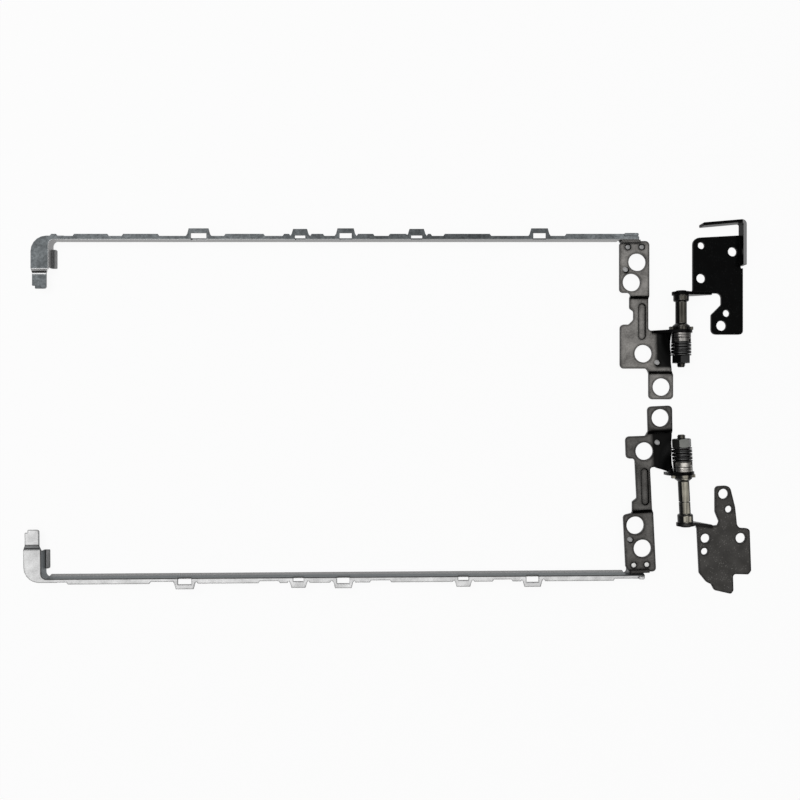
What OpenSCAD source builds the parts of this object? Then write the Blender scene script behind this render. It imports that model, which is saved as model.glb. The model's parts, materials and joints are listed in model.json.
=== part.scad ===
// Pair of laptop hinges, lying open and flat.
// X runs along the screen rails, Y along the hinge shafts, Z up.
// Each hinge is drawn in a frame of its own: its shaft lies on X = 0 at axis_z above the table,
// the outer face of its ear lies on Y = 0, and Y points from the ear to the arm of the base bracket.

/* [Sheets and levels] */
// Height of the shaft axes above the table
axis_z = 4.8; // [4.6:0.1:5.4]
// Sheet thickness of the display brackets
strip_t = 1.0; // [0.8:0.05:1.1]
// Step between two levels of a display bracket
level_step = 1.2; // [1.0:0.1:1.4]
// Sheet thickness of the base brackets
base_t = 1.1; // [0.8:0.05:1.2]
// Sheet thickness of the screen rails
rail_t = 0.6; // [0.4:0.05:0.7]
// Height of the screen rails
rail_h = 4.6; // [4.2:0.1:5.0]

/* [Placing of the two hinges] */
// Shaft of the right hinge along X
right_x = 100.5; // [95:0.5:110]
// Ear of the right hinge along Y
right_y = 26.70; // [24:0.01:40]
// Shaft of the left hinge along X
left_x = 101.2; // [95:0.1:110]
// Ear of the left hinge along Y
left_y = -23.10; // [-40:0.01:-20]
// Angle at which the left hinge lies
left_turn = 2.8; // [0:0.1:4]
// Angle between the left rail and its bracket, off square
left_rail_skew = 2.4; // [0:0.1:3]

/* [Shafts] */
// Diameter of the shaft neck
neck_d = 3.8; // [3.6:0.1:4.2]
// Diameter of the collar against the arm
collar_d = 5.2; // [4.8:0.1:5.6]
// Length of the collar on the right shaft
right_collar_len = 1.9; // [1.4:0.1:3]
// Length of the collar on the left shaft
left_collar_len = 2.6; // [1.4:0.1:3]
// Diameter of the shoulder against the stop plate
shoulder_d = 5.8; // [5.2:0.1:6]
// Diameter of the flatted tail
tail_d = 3.5; // [3.2:0.1:3.6]
// Width of the tail across its flats
tail_flats = 2.6; // [2.4:0.1:3]
// Outside diameter of the thread
thread_d = 2.9; // [2.4:0.1:3]
// Length of thread beyond the nut
thread_out = 1.4; // [0.8:0.1:2]
// Distance from ear to arm on the right hinge
right_arm_y = 12.0; // [10:0.2:16]
// Distance from ear to arm on the left hinge
left_arm_y = 16.5; // [15:0.2:18]

/* [Friction stack] */
// Running clearance on radius between ear and shaft
run_gap = 0.04; // [0.02:0.01:0.08]
// Clearance between neighbouring faces in the stack
face_gap = 0.02; // [0.01:0.01:0.04]
// Thickness of the stop plate
stop_t = 1.1; // [0.8:0.1:1.3]
// Reach of the nubs of the stop plate from the axis
stop_reach = 4.0; // [3.6:0.1:4.2]
// Diameter of the friction washers
washer_d = 6.5; // [6.2:0.1:6.7]
// Thickness of each friction washer
washer_t = 0.8; // [0.6:0.05:1]
// Thickness of the right notched pressure washer
right_pressure_t = 1.5; // [1:0.1:1.6]
// Thickness of the left notched pressure washer
left_pressure_t = 1.8; // [1.4:0.1:2]
// Number of facing pairs of disc springs
spring_pairs = 4; // [4:1:4]
// Outside diameter of a disc spring
spring_d = 6.8; // [6.4:0.1:6.9]
// Sheet thickness of a disc spring
spring_t = 0.3; // [0.25:0.05:0.35]
// Cone height to which the right nut presses a disc spring
right_spring_cone = 0.28; // [0.15:0.01:0.3]
// Cone height to which the left nut presses a disc spring
left_spring_cone = 0.31; // [0.15:0.01:0.34]
// Width of the nut across its flats
nut_flats = 5.7; // [5.4:0.1:5.8]
// Height of the right nut
right_nut_h = 2.6; // [2:0.1:3]
// Height of the left nut
left_nut_h = 3.0; // [2.4:0.1:3.2]
// Angle at which the right nut came to stop, from corner upwards
right_nut_turn = 19; // [0:1:60]
// Angle at which the left nut came to stop, from corner upwards
left_nut_turn = 30; // [0:1:60]

/* [Display brackets] */
// Diameter of the large display screw holes
display_hole_d = 6.1; // [5.6:0.1:6.3]
// Diameter of the formed locating pips
pip_d = 2.0; // [1.6:0.1:2.2]
// Height of the formed locating pips
pip_h = 0.45; // [0.2:0.05:0.6]
// Depth of the stiffening rib
rib_h = 0.35; // [0.2:0.05:0.5]
// Width of the stiffening rib
rib_w = 2.7; // [2.2:0.1:3]
// Radius of the ear around the shaft
ear_r = 3.7; // [3.4:0.1:3.8]
// Diameter of the rivet shanks
rivet_d = 1.8; // [1.4:0.1:2]

/* [Base brackets] */
// Radius of the arm's eye around the shaft
eye_r = 3.1; // [2.8:0.1:3.4]
// Height of the upright walls of the right base bracket
wall_h = 4.4; // [3:0.1:4.6]
// Diameter of the base screw holes
base_hole_d = 3.2; // [3:0.1:3.6]
// Diameter of the wide screw holes
base_wide_d = 3.5; // [3.2:0.1:3.8]
// Diameter of the base locating holes
base_pin_d = 2.4; // [2:0.1:2.6]

/* [Screen rails] */
// Length of the right rail from its foot to its end by the bracket
right_rail_len = 209.8; // [195:1:225]
// Length of the left rail from its foot to its end by the bracket
left_rail_len = 214.2; // [200:1:230]
// Width of the rail flange at its narrow stretches
flange_narrow = 1.2; // [1.0:0.1:1.5]
// Extra width of the rail flange at its wide stretches
flange_step = 0.7; // [0.3:0.1:1]
// Reach of the clip loops past the wide flange edge
loop_reach = 1.9; // [1.4:0.1:2.4]
// Width of the foot plate
foot_w = 6.1; // [5:0.1:7]
// Outer corner radius of the foot
foot_r = 6.2; // [3:0.1:7]

/* [Hidden] */

// Fineness of round surfaces and of drawn corner arcs
round_fn = 48;
arc_steps = 5;
// Small overlap that joins neighbouring parts of one sheet, and reach of cutting tools past a face
join = 0.05;
cut = 1;

// Levels of the display brackets: the top faces of their three plates
low_top = strip_t;
mid_top = strip_t + level_step;
high_top = strip_t + 2 * level_step;

// Places along Y in the stack, counted from the ear's outer face towards the thread
ear_t = strip_t;
friction_y = -ear_t - face_gap - washer_t;
key_y = friction_y - face_gap - washer_t;

// Both hinges share the inner washers, and differ from there on: [thickness of the pressure washer,
// cone height of a spring, height of the nut, angle of the nut]
right_stack = [right_pressure_t, right_spring_cone, right_nut_h, right_nut_turn];
left_stack = [left_pressure_t, left_spring_cone, left_nut_h, left_nut_turn];
function pressure_y(stack) = key_y - face_gap - stack[0];
function spring_pitch(stack) = spring_t + stack[1];
function springs_y(stack) = pressure_y(stack) - face_gap - 2 * spring_pairs * spring_pitch(stack);
function nut_y(stack) = springs_y(stack) - face_gap - stack[2];
function thread_end_y(stack) = nut_y(stack) - thread_out;
shoulder_y = stop_t + 2 * face_gap;
key_gap = 0.03;
rivet_neck_d = 2.6;
left_groove_y = 9.2;
lug_w = 1.6;
lug_from = 2.5;
bore_d = tail_d + 2 * run_gap;

// Rivets: midpoint between the two on each bracket, and their spacing
right_rivet_at = [-15.55, 28.8];
left_rivet_at = [-15.85, 30.65];
right_rivet_pitch = 4.8;
left_rivet_pitch = 4.5;
rivet_head_d = 2.4;
rivet_head_h = 0.5;
rivet_dish_d = 2.3;
rivet_dish_h = 0.25;
rivet_gap = 0.02;

// Display bracket outlines in plan: [x, y, corner radius]
strip_edge = -10.5;
knuckle_x = -8.4;
tip_x = -2.4;
right_low_y = -14.6;
left_low_y = -14.8;
right_high_y = 11.4;
left_high_y = 12.3;
right_end_y = -23.9;
left_end_y = -23.9;

right_outline = [
    [strip_edge, 30.9, 1.4], [-19.7, 30.9, 0.4], [-20.8, 29.8, 0.4], [-20.8, 13.0, 1.3], [-17.0, 13.0, 1.1],
    [-17.0, 7.7, 0.8], [-15.6, 6.7, 0.8], [-15.6, 3.8, 1.2], [-17.3, 2.1, 1.0], [-20.3, 2.1, 1.3],
    [-20.3, -13.2, 1.4], [-11.3, -13.2, 0.8], [-10.0, -14.8, 0.8], [-10.0, right_end_y, 1.4],
    [-1.5, right_end_y, 1.4], [-1.5, -15.2, 0.3], [tip_x, right_low_y + 0.6, 0.3],
    [tip_x, right_low_y + 1.2, 0], [knuckle_x, right_low_y + 1.2, 0], [knuckle_x, 0, 0],
    [strip_edge, 0, 1.2]];

left_outline = [
    [strip_edge, 33.2, 1.3], [-19.6, 32.8, 0.4], [-20.9, 31.0, 0.4], [-20.9, 13.2, 1.2], [-17.4, 12.6, 0.8],
    [-17.2, 8.8, 0.4], [-15.6, 7.7, 0.8], [-15.6, -6.1, 1.0], [-18.6, -6.2, 1.3], [-18.5, -13.9, 1.4],
    [-11.6, -13.8, 1.0], [-10.2, -15.2, 0.8], [-10.0, left_end_y, 1.4], [-1.4, left_end_y, 1.4],
    [-1.7, -15.2, 0.3], [tip_x, left_low_y + 0.6, 0.3], [tip_x, left_low_y + 1.2, 0],
    [knuckle_x, left_low_y + 1.2, 0], [knuckle_x, -2.8, 0], [strip_edge, -2.8, 1.6]];

// Display bracket holes: [x, y], then pips and rib ends
right_holes = [[-14.7, 23.6], [-16.65, 16.6], [-12.25, -8.0], [-5.6, -19.6]];
left_holes = [[-14.8, 25.0], [-16.9, 16.9], [-12.2, -8.5], [-5.7, -19.75]];
right_pips = [[-18.6, 20.8], [-7.3, -11.3]];
left_pips = [[-18.8, 21.9], [-7.4, -11.1]];
right_rib = [[-12.7, 8.2], [-12.7, -1.9]];
left_rib = [[-12.7, 9.0], [-12.5, -1.3]];

// Upstand of the display bracket against the rail wall: [start, end] along X, and its gap to the
// top of the wall, which is wider where the wall leans and the rail stands skew
upstand_h = 1.0;
right_stand = [-20.4, -13.8];
left_stand = [-19.5, -13.0];
right_stand_gap = 0.05;
left_stand_gap = 0.6;

// Formed knuckle: the sheet sweeps up from the middle plate beside the springs
knuckle_gap = 0.1;
knuckle_run = 5.0;
sweep_r = -knuckle_x - spring_d / 2 - knuckle_gap - strip_t / 2;
sweep_rows = 10;
sweep_cols = 8;

// Where the ear's foot runs out on the middle plate, and how far the knuckle's start lies askew there
right_foot_x = -9.4;
left_foot_x = -5.6;
left_knuckle_skew = 2.0;

// Base bracket outlines in plan: [x, y, corner radius]
fold_x = 5.4;
right_fold_to = 11.8;
left_fold_to = 10.4;
arm_bend_x = 2.8;
right_arm_slope = 0.06;
left_arm_slope = 0.24;
right_edge = 22.8;
left_edge = 23.5;
right_base_end = 33.3;
wall_from = 22.6;
hook_y = 38.4;
hook_slope = 0.083;
hook_from = 7.9;

right_base_outline = [
    [fold_x, arm_line(right_arm_y, right_arm_slope, fold_x), 0], [fold_x, right_base_end - 0.9, 2.3],
    [right_edge - base_t, right_base_end, 0], [right_edge, right_base_end, 0], [right_edge, -1.3, 1.3], [11.8, -1.3, 1.8], [11.8, 5.6, 1.0],
    [15.3, 9.1, 0.8], [15.3, 13.1, 1.8], [right_fold_to, 13.1, 0],
    [right_fold_to, arm_line(right_arm_y, right_arm_slope, right_fold_to), 0]];

left_base_outline = [
    [fold_x - 0.2, arm_line(left_arm_y, left_arm_slope, fold_x - 0.2), 0],
    [fold_x - 0.2, 35.0, 1.0], [7.6, 38.3, 2.4], [9.2, 39.1, 0.6],
    [10.2, 41.2, 0.8], [15.9, 42.8, 0.9], [16.8, 41.6, 0.8], [16.9, 35.9, 1.0], [22.3, 36.3, 0.9],
    [left_edge - 0.2, 35.0, 0.8], [left_edge, 20.3, 1.2], [19.2, 19.9, 1.8], [18.8, 12.6, 2.0],
    [17.3, 5.0, 2.0], [12.2, 5.0, 1.4], [11.8, 14.0, 2.0], [13.0, 17.4, 0.6],
    [12.4, 18.7, 0.5], [left_fold_to, 18.7, 0],
    [left_fold_to, arm_line(left_arm_y, left_arm_slope, left_fold_to), 0]];

right_screw_holes = [[19.2, 27.6], [8.2, 18.3]];
right_wide_hole = [15.3, 1.8];
right_pin_holes = [[8.3, 29.75], [17.05, 6.1]];
left_screw_hole = [7.9, 23.0];
left_wide_holes = [[14.95, 7.8], [20.2, 23.5]];
left_pin_holes = [[16.5, 13.25], [7.4, 27.55]];

// Screen rails: places along X are counted from the rivets towards the foot
rail_inner_right = 2.45;
rail_inner_left = 3.25;
right_lean = 0.1;
left_lean = 0.9;
rail_near_end = 1.2;
flange_end_r = 0.6;
tongue_from = -4.6;
tongue_to = 3.8;
tongue_w = 4.3;
tongue_flare = 0.9;
curl_h = 0.3;
curl_out = 0.25;
foot_len = 11.2;
foot_tongue_len = 5.6;
foot_tongue_w = 4.9;
foot_bend_r = 1.8;
foot_tab_len = 6.6;
foot_tab_w = 1.4;
pad_slope = 0.5;
loop_strip = 1.6;

// Wide stretches of the flange: [start, end] along X from the rivets
right_pads = [
    [-202.0, -199.4], [-194.1, -181.7], [-177.2, -164.3], [-141.9, -127.8], [-121.7, -119.0],
    [-112.2, -107.3], [-96.2, -90.0], [-85.2, -78.6], [-72.1, -70.2], [-66.3, -49.8], [-24.4, 0.9]];
left_pads = [
    [-198.2, -169.2], [-153.4, -131.5], [-125.1, -121.5], [-114.8, -106.8], [-99.1, -93.1],
    [-86.7, -64.5], [-58.1, -50.8], [-44.8, -41.0], [-33.6, -9.1]];

// The places above and below are drawn for these rail lengths, and stretch with the rail
right_drawn_len = 209.8;
left_drawn_len = 214.2;

// Curled up stretch at the end of the flange: [start, end, 1 where the flange is wide there]
right_curl = [-4.0, 0.95, 1];
left_curl = [-1.0, 1.1, 0];

// Tabs of the flange: [start, end, 1 for an open clip loop or 0 for a solid tab]
right_tabs = [
    [-154.6, -146.8, 1], [-118.6, -112.8, 0], [-103.3, -96.7, 1], [-78.5, -72.5, 0], [-36.5, -29.8, 1]];
left_tabs = [
    [-161.0, -153.9, 1], [-121.1, -115.3, 0], [-106.1, -99.4, 1], [-64.2, -58.5, 0], [-40.8, -34.2, 1]];

// Points of an arc that rounds corner b between a and c with radius r, limited by the shorter side
function unit(v) = v / norm(v);
function corner(a, b, c, r) =
    let (u = unit(a - b), w = unit(c - b))
    norm(u + w) < 0.01 ? [b] : arc_points(a, b, c, r, u, w);
function arc_points(a, b, c, r, u, w) =
    let (half = acos(max(-1, min(1, u * w))) / 2)
    let (back = min(r / tan(half), 0.48 * min(norm(a - b), norm(c - b))))
    let (radius = back * tan(half))
    let (centre = b + unit(u + w) * radius / sin(half))
    let (from = b + u * back - centre, to = b + w * back - centre)
    let (start = atan2(from.y, from.x), raw = atan2(to.y, to.x) - start)
    let (sweep = raw > 180 ? raw - 360 : raw < -180 ? raw + 360 : raw)
    [for (i = [0 : arc_steps]) centre + radius * [cos(start + sweep * i / arc_steps),
                                                 sin(start + sweep * i / arc_steps)]];
function xy(p) = [p.x, p.y];
function rounded(path) = let (n = len(path)) [
    for (i = [0 : n - 1])
        let (a = xy(path[(i + n - 1) % n]), b = xy(path[i]), c = xy(path[(i + 1) % n]), r = path[i][2])
        each (r == 0 ? [b] : corner(a, b, c, r))];

// Places the children along a shaft: a profile of [radius, y] turned about the shaft axis
module turned(profile) {
    translate([0, 0, axis_z])
        rotate([-90, 0, 0])
            rotate_extrude($fn = round_fn)
                polygon(profile);
}

// Round bar or disc along the shaft axis
module disc(d, y, length, fn = round_fn) {
    translate([0, y, axis_z])
        rotate([-90, 0, 0])
            cylinder(d = d, h = length, $fn = fn);
}

// Bar with two flats, above and below, along the shaft axis
module flatted(d, flats, y, length) {
    intersection() {
        disc(d, y, length);
        translate([-d, y - cut, axis_z - flats / 2])
            cube([2 * d, length + 2 * cut, flats]);
    }
}

// Standing sheet across the shaft: a profile in X and Z with thickness t from y
module standing(y, t) {
    translate([0, y + t, 0])
        rotate([90, 0, 0])
            linear_extrude(t)
                children();
}

// Hole through flat sheet
module hole(at, d) {
    translate([at.x, at.y, -cut])
        cylinder(d = d, h = rail_h + 2 * cut, $fn = round_fn);
}

// Shaft with riveted head, collar, neck, shoulder, flatted tail and threaded end
module shaft(stack, arm_y, collar_len, groove) {
    neck_from = shoulder_y + 1.1;
    collar_from = arm_y - collar_len;
    thread_relief = 0.25;
    end_y = thread_end_y(stack);
    tail_from = springs_y(stack);
    color([0.20, 0.19, 0.18])
    difference() {
        union() {
            turned([
                [0, shoulder_y], [shoulder_d / 2, shoulder_y], [shoulder_d / 2, shoulder_y + 0.25],
                [neck_d / 2, neck_from], [neck_d / 2, collar_from - 0.3], [collar_d / 2 - 0.25, collar_from - 0.3],
                [collar_d / 2, collar_from], [collar_d / 2, arm_y - face_gap], [0, arm_y - face_gap]]);
            flatted(tail_d, tail_flats, tail_from, shoulder_y - tail_from + join);
            turned([
                [0, end_y], [thread_d / 2 - thread_relief, end_y], [thread_d / 2, end_y + thread_relief],
                [thread_d / 2, tail_from + join], [0, tail_from + join]]);
            disc(rivet_neck_d, arm_y - join, base_t + 2 * join);
            turned([
                [0, arm_y + base_t + face_gap], [1.9, arm_y + base_t + face_gap],
                [1.7, arm_y + base_t + 0.4], [0, arm_y + base_t + 0.5]]);
        }
        long_flats(neck_d, neck_from + 0.2, collar_from - 0.6);
        long_flats(collar_d, collar_from + 0.3, arm_y - 0.4);
        long_flats(shoulder_d, shoulder_y + 0.2, neck_from);
        if (groove > 0)
            ring_groove(groove);
    }
}

// Cuts for the long flats above and below on a round stretch of the shaft
module long_flats(d, from, to) {
    flat_depth = 0.35;
    for (side = [0, 1])
        translate([0, 0, axis_z])
            mirror([0, 0, side])
                translate([-d, from, d / 2 - flat_depth])
                    cube([2 * d, to - from, 2 * flat_depth]);
}

// Shallow ring groove around the neck
module ring_groove(y) {
    groove_w = 0.3;
    groove_in = 0.5;
    difference() {
        disc(neck_d + cut, y, groove_w);
        disc(neck_d - 2 * groove_in, y - cut, groove_w + 2 * cut);
    }
}

// Keyed plate with a nub on each side, between the shoulder and the ear
module stop_plate() {
    nub_h = 1.4;
    color([0.16, 0.15, 0.15])
    difference() {
        union() {
            disc(6.0, face_gap, stop_t);
            translate([-stop_reach, face_gap, axis_z - nub_h / 2])
                cube([2 * stop_reach, stop_t, nub_h]);
        }
        flatted(tail_d + 2 * key_gap, tail_flats + 2 * key_gap, face_gap - cut, stop_t + 2 * cut);
    }
}

// Washer with a round bore, held by a lug in the ear's notch
module friction_washer() {
    color([0.62, 0.60, 0.57])
    difference() {
        union() {
            disc(washer_d, friction_y, washer_t);
            lug(friction_y, washer_t + face_gap + 0.5 * ear_t, lug_w - 2 * key_gap, key_gap);
        }
        disc(bore_d, friction_y - cut, washer_t + ear_t + 2 * cut);
    }
}

// Small block at the top of the stack, used for the washer's lug and for the notch it sits in
module lug(y, length, width, gap) {
    translate([-width / 2, y, axis_z + lug_from + gap])
        cube([width, length, washer_d / 2 - lug_from - 0.1 - gap]);
}

// Washer that turns with the shaft
module key_washer() {
    color([0.66, 0.64, 0.60])
    difference() {
        disc(washer_d, key_y, washer_t);
        flatted(tail_d + 2 * key_gap, tail_flats + 2 * key_gap, key_y - cut, washer_t + 2 * cut);
    }
}

// Thick washer with notched rim that spreads the load of the springs
module pressure_washer(stack) {
    notch_w = 1.5;
    notch_in = 0.5;
    rim = washer_d / 2;
    rim_edge = 0.15;
    y = pressure_y(stack);
    t = stack[0];
    color([0.74, 0.72, 0.68])
    difference() {
        turned([
            [0, y], [rim - rim_edge, y], [rim, y + rim_edge], [rim, y + t - rim_edge],
            [rim - rim_edge, y + t], [0, y + t]]);
        flatted(tail_d + 2 * key_gap, tail_flats + 2 * key_gap, y - cut, t + 2 * cut);
        for (turn = [0 : 3])
            translate([0, 0, axis_z])
                rotate([0, 45 + 90 * turn, 0])
                    translate([-notch_w / 2, y - join, rim - notch_in])
                        cube([notch_w, t * 0.6, 2 * notch_in]);
    }
}

// One conical disc spring: odd ones open away from the ear, even ones towards it
module disc_spring(stack, i) {
    y = pressure_y(stack) - face_gap - i * spring_pitch(stack);
    inner = bore_d / 2;
    outer = spring_d / 2;
    rise = i % 2 == 1 ? [stack[1], 0] : [0, stack[1]];
    color([0.13, 0.13, 0.14])
    turned([
        [inner, y + rise[0]], [outer, y + rise[1]],
        [outer, y + rise[1] + spring_t], [inner, y + rise[0] + spring_t]]);
}

// Hexagon nut with chamfered ends
module nut(stack) {
    corner_r = nut_flats / 2 / cos(30);
    chamfer = 0.3;
    y = nut_y(stack);
    h = stack[2];
    color([0.15, 0.16, 0.16])
    difference() {
        intersection() {
            translate([0, y, axis_z])
                rotate([-90, 0, 0])
                    rotate([0, 0, 30 - stack[3]])
                        cylinder(r = corner_r, h = h, $fn = 6);
            turned([
                [0, y], [nut_flats / 2, y], [corner_r, y + chamfer], [corner_r, y + h - chamfer],
                [nut_flats / 2, y + h], [0, y + h]]);
        }
        disc(thread_d + 2 * face_gap, y - cut, h + 2 * cut);
    }
}

// Side profile of the stepped strip: three levels joined by two joggles
module level_profile(low_y, high_y, far, near) {
    slope = level_step * 0.75;
    bend = strip_t * 0.35;
    polygon([
        [far, 0], [low_y - slope / 2 + bend, 0], [low_y + slope / 2 + bend, mid_top - strip_t],
        [high_y - slope / 2 + bend, mid_top - strip_t], [high_y + slope / 2 + bend, high_top - strip_t],
        [near, high_top - strip_t], [near, high_top], [high_y + slope / 2, high_top],
        [high_y - slope / 2, mid_top], [low_y + slope / 2, mid_top], [low_y - slope / 2, low_top],
        [far, low_top]]);
}

// The strip in plan and in side view at once
module stepped_strip(outline, low_y, high_y) {
    far = -40;
    near = 50;
    intersection() {
        linear_extrude(high_top + cut)
            polygon(rounded(outline));
        rotate([90, 0, 90])
            translate([0, 0, far])
                linear_extrude(-2 * far)
                    level_profile(low_y, high_y, far, near);
    }
}

// Dome pressed up out of a plate, used also with a smaller size for the hollow beneath it
module pip(at, top, d, h) {
    dome_fn = 24;
    r = (d * d / 4 + h * h) / (2 * h);
    translate([at.x, at.y, top])
        intersection() {
            translate([0, 0, h - r])
                sphere(r = r, $fn = dome_fn);
            translate([0, 0, -join])
                cylinder(d = d + 2, h = h + cut, $fn = dome_fn);
        }
}

// Long stadium with sloping sides between two points, upright or as a groove
module rib(ends, w, h) {
    run = ends[1] - ends[0];
    angle = atan2(run.y, run.x);
    slope = h * 0.9;
    for (p = ends)
        translate([p.x, p.y, 0])
            cylinder(d1 = w, d2 = w - 2 * slope, h = h, $fn = round_fn);
    translate([ends[0].x, ends[0].y, 0])
        rotate([0, 0, angle])
            rotate([90, 0, 90])
                linear_extrude(norm(run))
                    polygon([[-w / 2, 0], [w / 2, 0], [w / 2 - slope, h], [-w / 2 + slope, h]]);
}

// How far along X a point at height z may reach with clearance to the springs
function clear_x(z) = -sqrt(max(0, pow(spring_d / 2 + knuckle_gap, 2) - pow(max(0, axis_z - z), 2)));

// Place along X of the free edge of the knuckle where its section turns by that angle
function edge_x(turn) =
    let (half = strip_t / 2, z = mid_top - half + knuckle_run * tan(turn / 2))
    min(tip_x, clear_x(z - half * cos(turn)) - half * sin(turn), clear_x(z + half * cos(turn)) + half * sin(turn));

// A point on the formed knuckle: col along the section from the plate, row from the ear to the plate
function sweep_point(col, row, side, from_y, skew, to_y) =
    let (v = row / sweep_rows, turn = max(1.5, 90 * (1 - pow(v, 0.9))), run = edge_x(turn) - knuckle_x)
    let (radius = run / sin(turn), a = turn * col / sweep_cols, level = mid_top - strip_t / 2)
    let (start_y = from_y - skew * (1 - col / sweep_cols))
    row == sweep_rows
        ? [knuckle_x + run * col / sweep_cols, to_y, level + side * strip_t / 2]
        : [knuckle_x + radius * sin(a) - side * strip_t / 2 * sin(a),
           start_y + (to_y - start_y) * v,
           level + radius * (1 - cos(a)) + side * strip_t / 2 * cos(a)];

// Sheet that starts flat on the middle plate and curls up beside the springs towards the ear
module knuckle(from_y, skew, to_y) {
    across = sweep_cols + 1;
    layer = across * (sweep_rows + 1);
    points = [for (side = [1, -1]) for (row = [0 : sweep_rows]) for (col = [0 : sweep_cols])
        sweep_point(col, row, side, from_y, skew, to_y)];
    top = [for (row = [0 : sweep_rows - 1]) for (col = [0 : sweep_cols - 1])
        let (p = row * across + col)
        each [[p, p + 1, p + across], [p + 1, p + across + 1, p + across]]];
    bottom = [for (f = top) [f[2] + layer, f[1] + layer, f[0] + layer]];
    left = [for (row = [0 : sweep_rows - 1]) let (p = row * across)
        each [[p, p + across, p + layer], [p + across, p + across + layer, p + layer]]];
    right = [for (row = [0 : sweep_rows - 1]) let (p = row * across + sweep_cols)
        each [[p + across, p, p + layer], [p + across + layer, p + across, p + layer]]];
    near = [for (col = [0 : sweep_cols - 1])
        each [[col + 1, col, col + layer], [col + 1 + layer, col + 1, col + layer]]];
    last = sweep_rows * across;
    far = [for (col = [0 : sweep_cols - 1]) let (p = last + col)
        each [[p, p + 1, p + layer], [p + 1, p + 1 + layer, p + layer]]];
    polyhedron(points = points, faces = concat(top, bottom, left, right, near, far));
}

// Ear around the shaft, with its foot running out to the plate
module ear(foot_x) {
    difference() {
        standing(-ear_t, ear_t) {
            translate([0, axis_z])
                circle(r = ear_r, $fn = round_fn);
            polygon([
                [foot_x, mid_top - strip_t], [foot_x, mid_top + 0.6 * (foot_x - right_foot_x)],
                [knuckle_x + sweep_r - strip_t, mid_top + sweep_r - 0.2],
                [-ear_r * cos(60), axis_z + ear_r * sin(60)], [0, axis_z],
                [-ear_r * cos(60), axis_z - ear_r * sin(60)], [-4.4, mid_top - strip_t]]);
        }
        disc(bore_d, -ear_t - cut, ear_t + 2 * cut);
        lug(-ear_t - join, ear_t * 0.5 + 0.15, lug_w, 0);
    }
}

// Display bracket: stepped strip, formed knuckle, ear, upstand, rib, pips and holes
module display_bracket(outline, low_y, high_y, foot_x, skew, holes, pips, ribs, rivet_at, pitch, stand,
                       edge_y, tint) {
    pip_levels = [high_top, mid_top];
    color(tint)
    difference() {
        union() {
            stepped_strip(outline, low_y, high_y);
            knuckle(-ear_t / 2, skew, low_y + 1.2);
            ear(foot_x);
            translate([stand[0], edge_y - strip_t, high_top - strip_t])
                cube([stand[1] - stand[0], strip_t, strip_t + upstand_h]);
            for (i = [0, 1])
                pip(pips[i], pip_levels[i], pip_d, pip_h);
            translate([0, 0, mid_top - strip_t + join])
                mirror([0, 0, 1])
                    rib(ribs, rib_w, rib_h + join);
        }
        for (p = holes)
            hole(p, display_hole_d);
        for (i = [0, 1])
            pip(pips[i], pip_levels[i] - strip_t, pip_d - 0.3, pip_h - 0.05);
        translate([0, 0, mid_top + join])
            mirror([0, 0, 1])
                rib(ribs, rib_w, rib_h + join);
        for (side = [-1, 1])
            translate([rivet_at.x + side * pitch / 2, rivet_at.y, 0]) {
                translate([0, 0, -cut])
                    cylinder(d = rivet_d + 2 * rivet_gap, h = high_top + 2 * cut, $fn = 32);
                translate([0, 0, high_top - rivet_dish_h])
                    cylinder(d1 = rivet_d + 2 * rivet_gap, d2 = rivet_dish_d + rivet_dish_h, h = 2 * rivet_dish_h,
                             $fn = 32);
            }
    }
}

// Two rivets with flat heads under the rail's tongue and closed heads on the bracket
module rivets(at, pitch) {
    under = high_top - strip_t - rail_t;
    color([0.75, 0.75, 0.74])
    for (side = [-1, 1])
        translate([at.x + side * pitch / 2, at.y, 0])
            rotate_extrude($fn = 32)
                polygon([
                    [0, under - rivet_head_h], [rivet_head_d / 2 - 0.2, under - rivet_head_h],
                    [rivet_head_d / 2, under - rivet_head_h + 0.2], [rivet_head_d / 2, under - rivet_gap],
                    [rivet_d / 2, under - rivet_gap], [rivet_d / 2, high_top - 0.1],
                    [rivet_d / 2 - 0.25, high_top + 0.05], [0, high_top + 0.1]]);
}

// Stretch of wide flange with sloping ends
module pad(from, to, edge, reach) {
    translate([0, 0, rail_h - rail_t])
        linear_extrude(rail_t)
            polygon([
                [from, edge - join], [to, edge - join], [to, edge], [to - pad_slope, edge + reach],
                [from + pad_slope, edge + reach], [from, edge]]);
}

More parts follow.
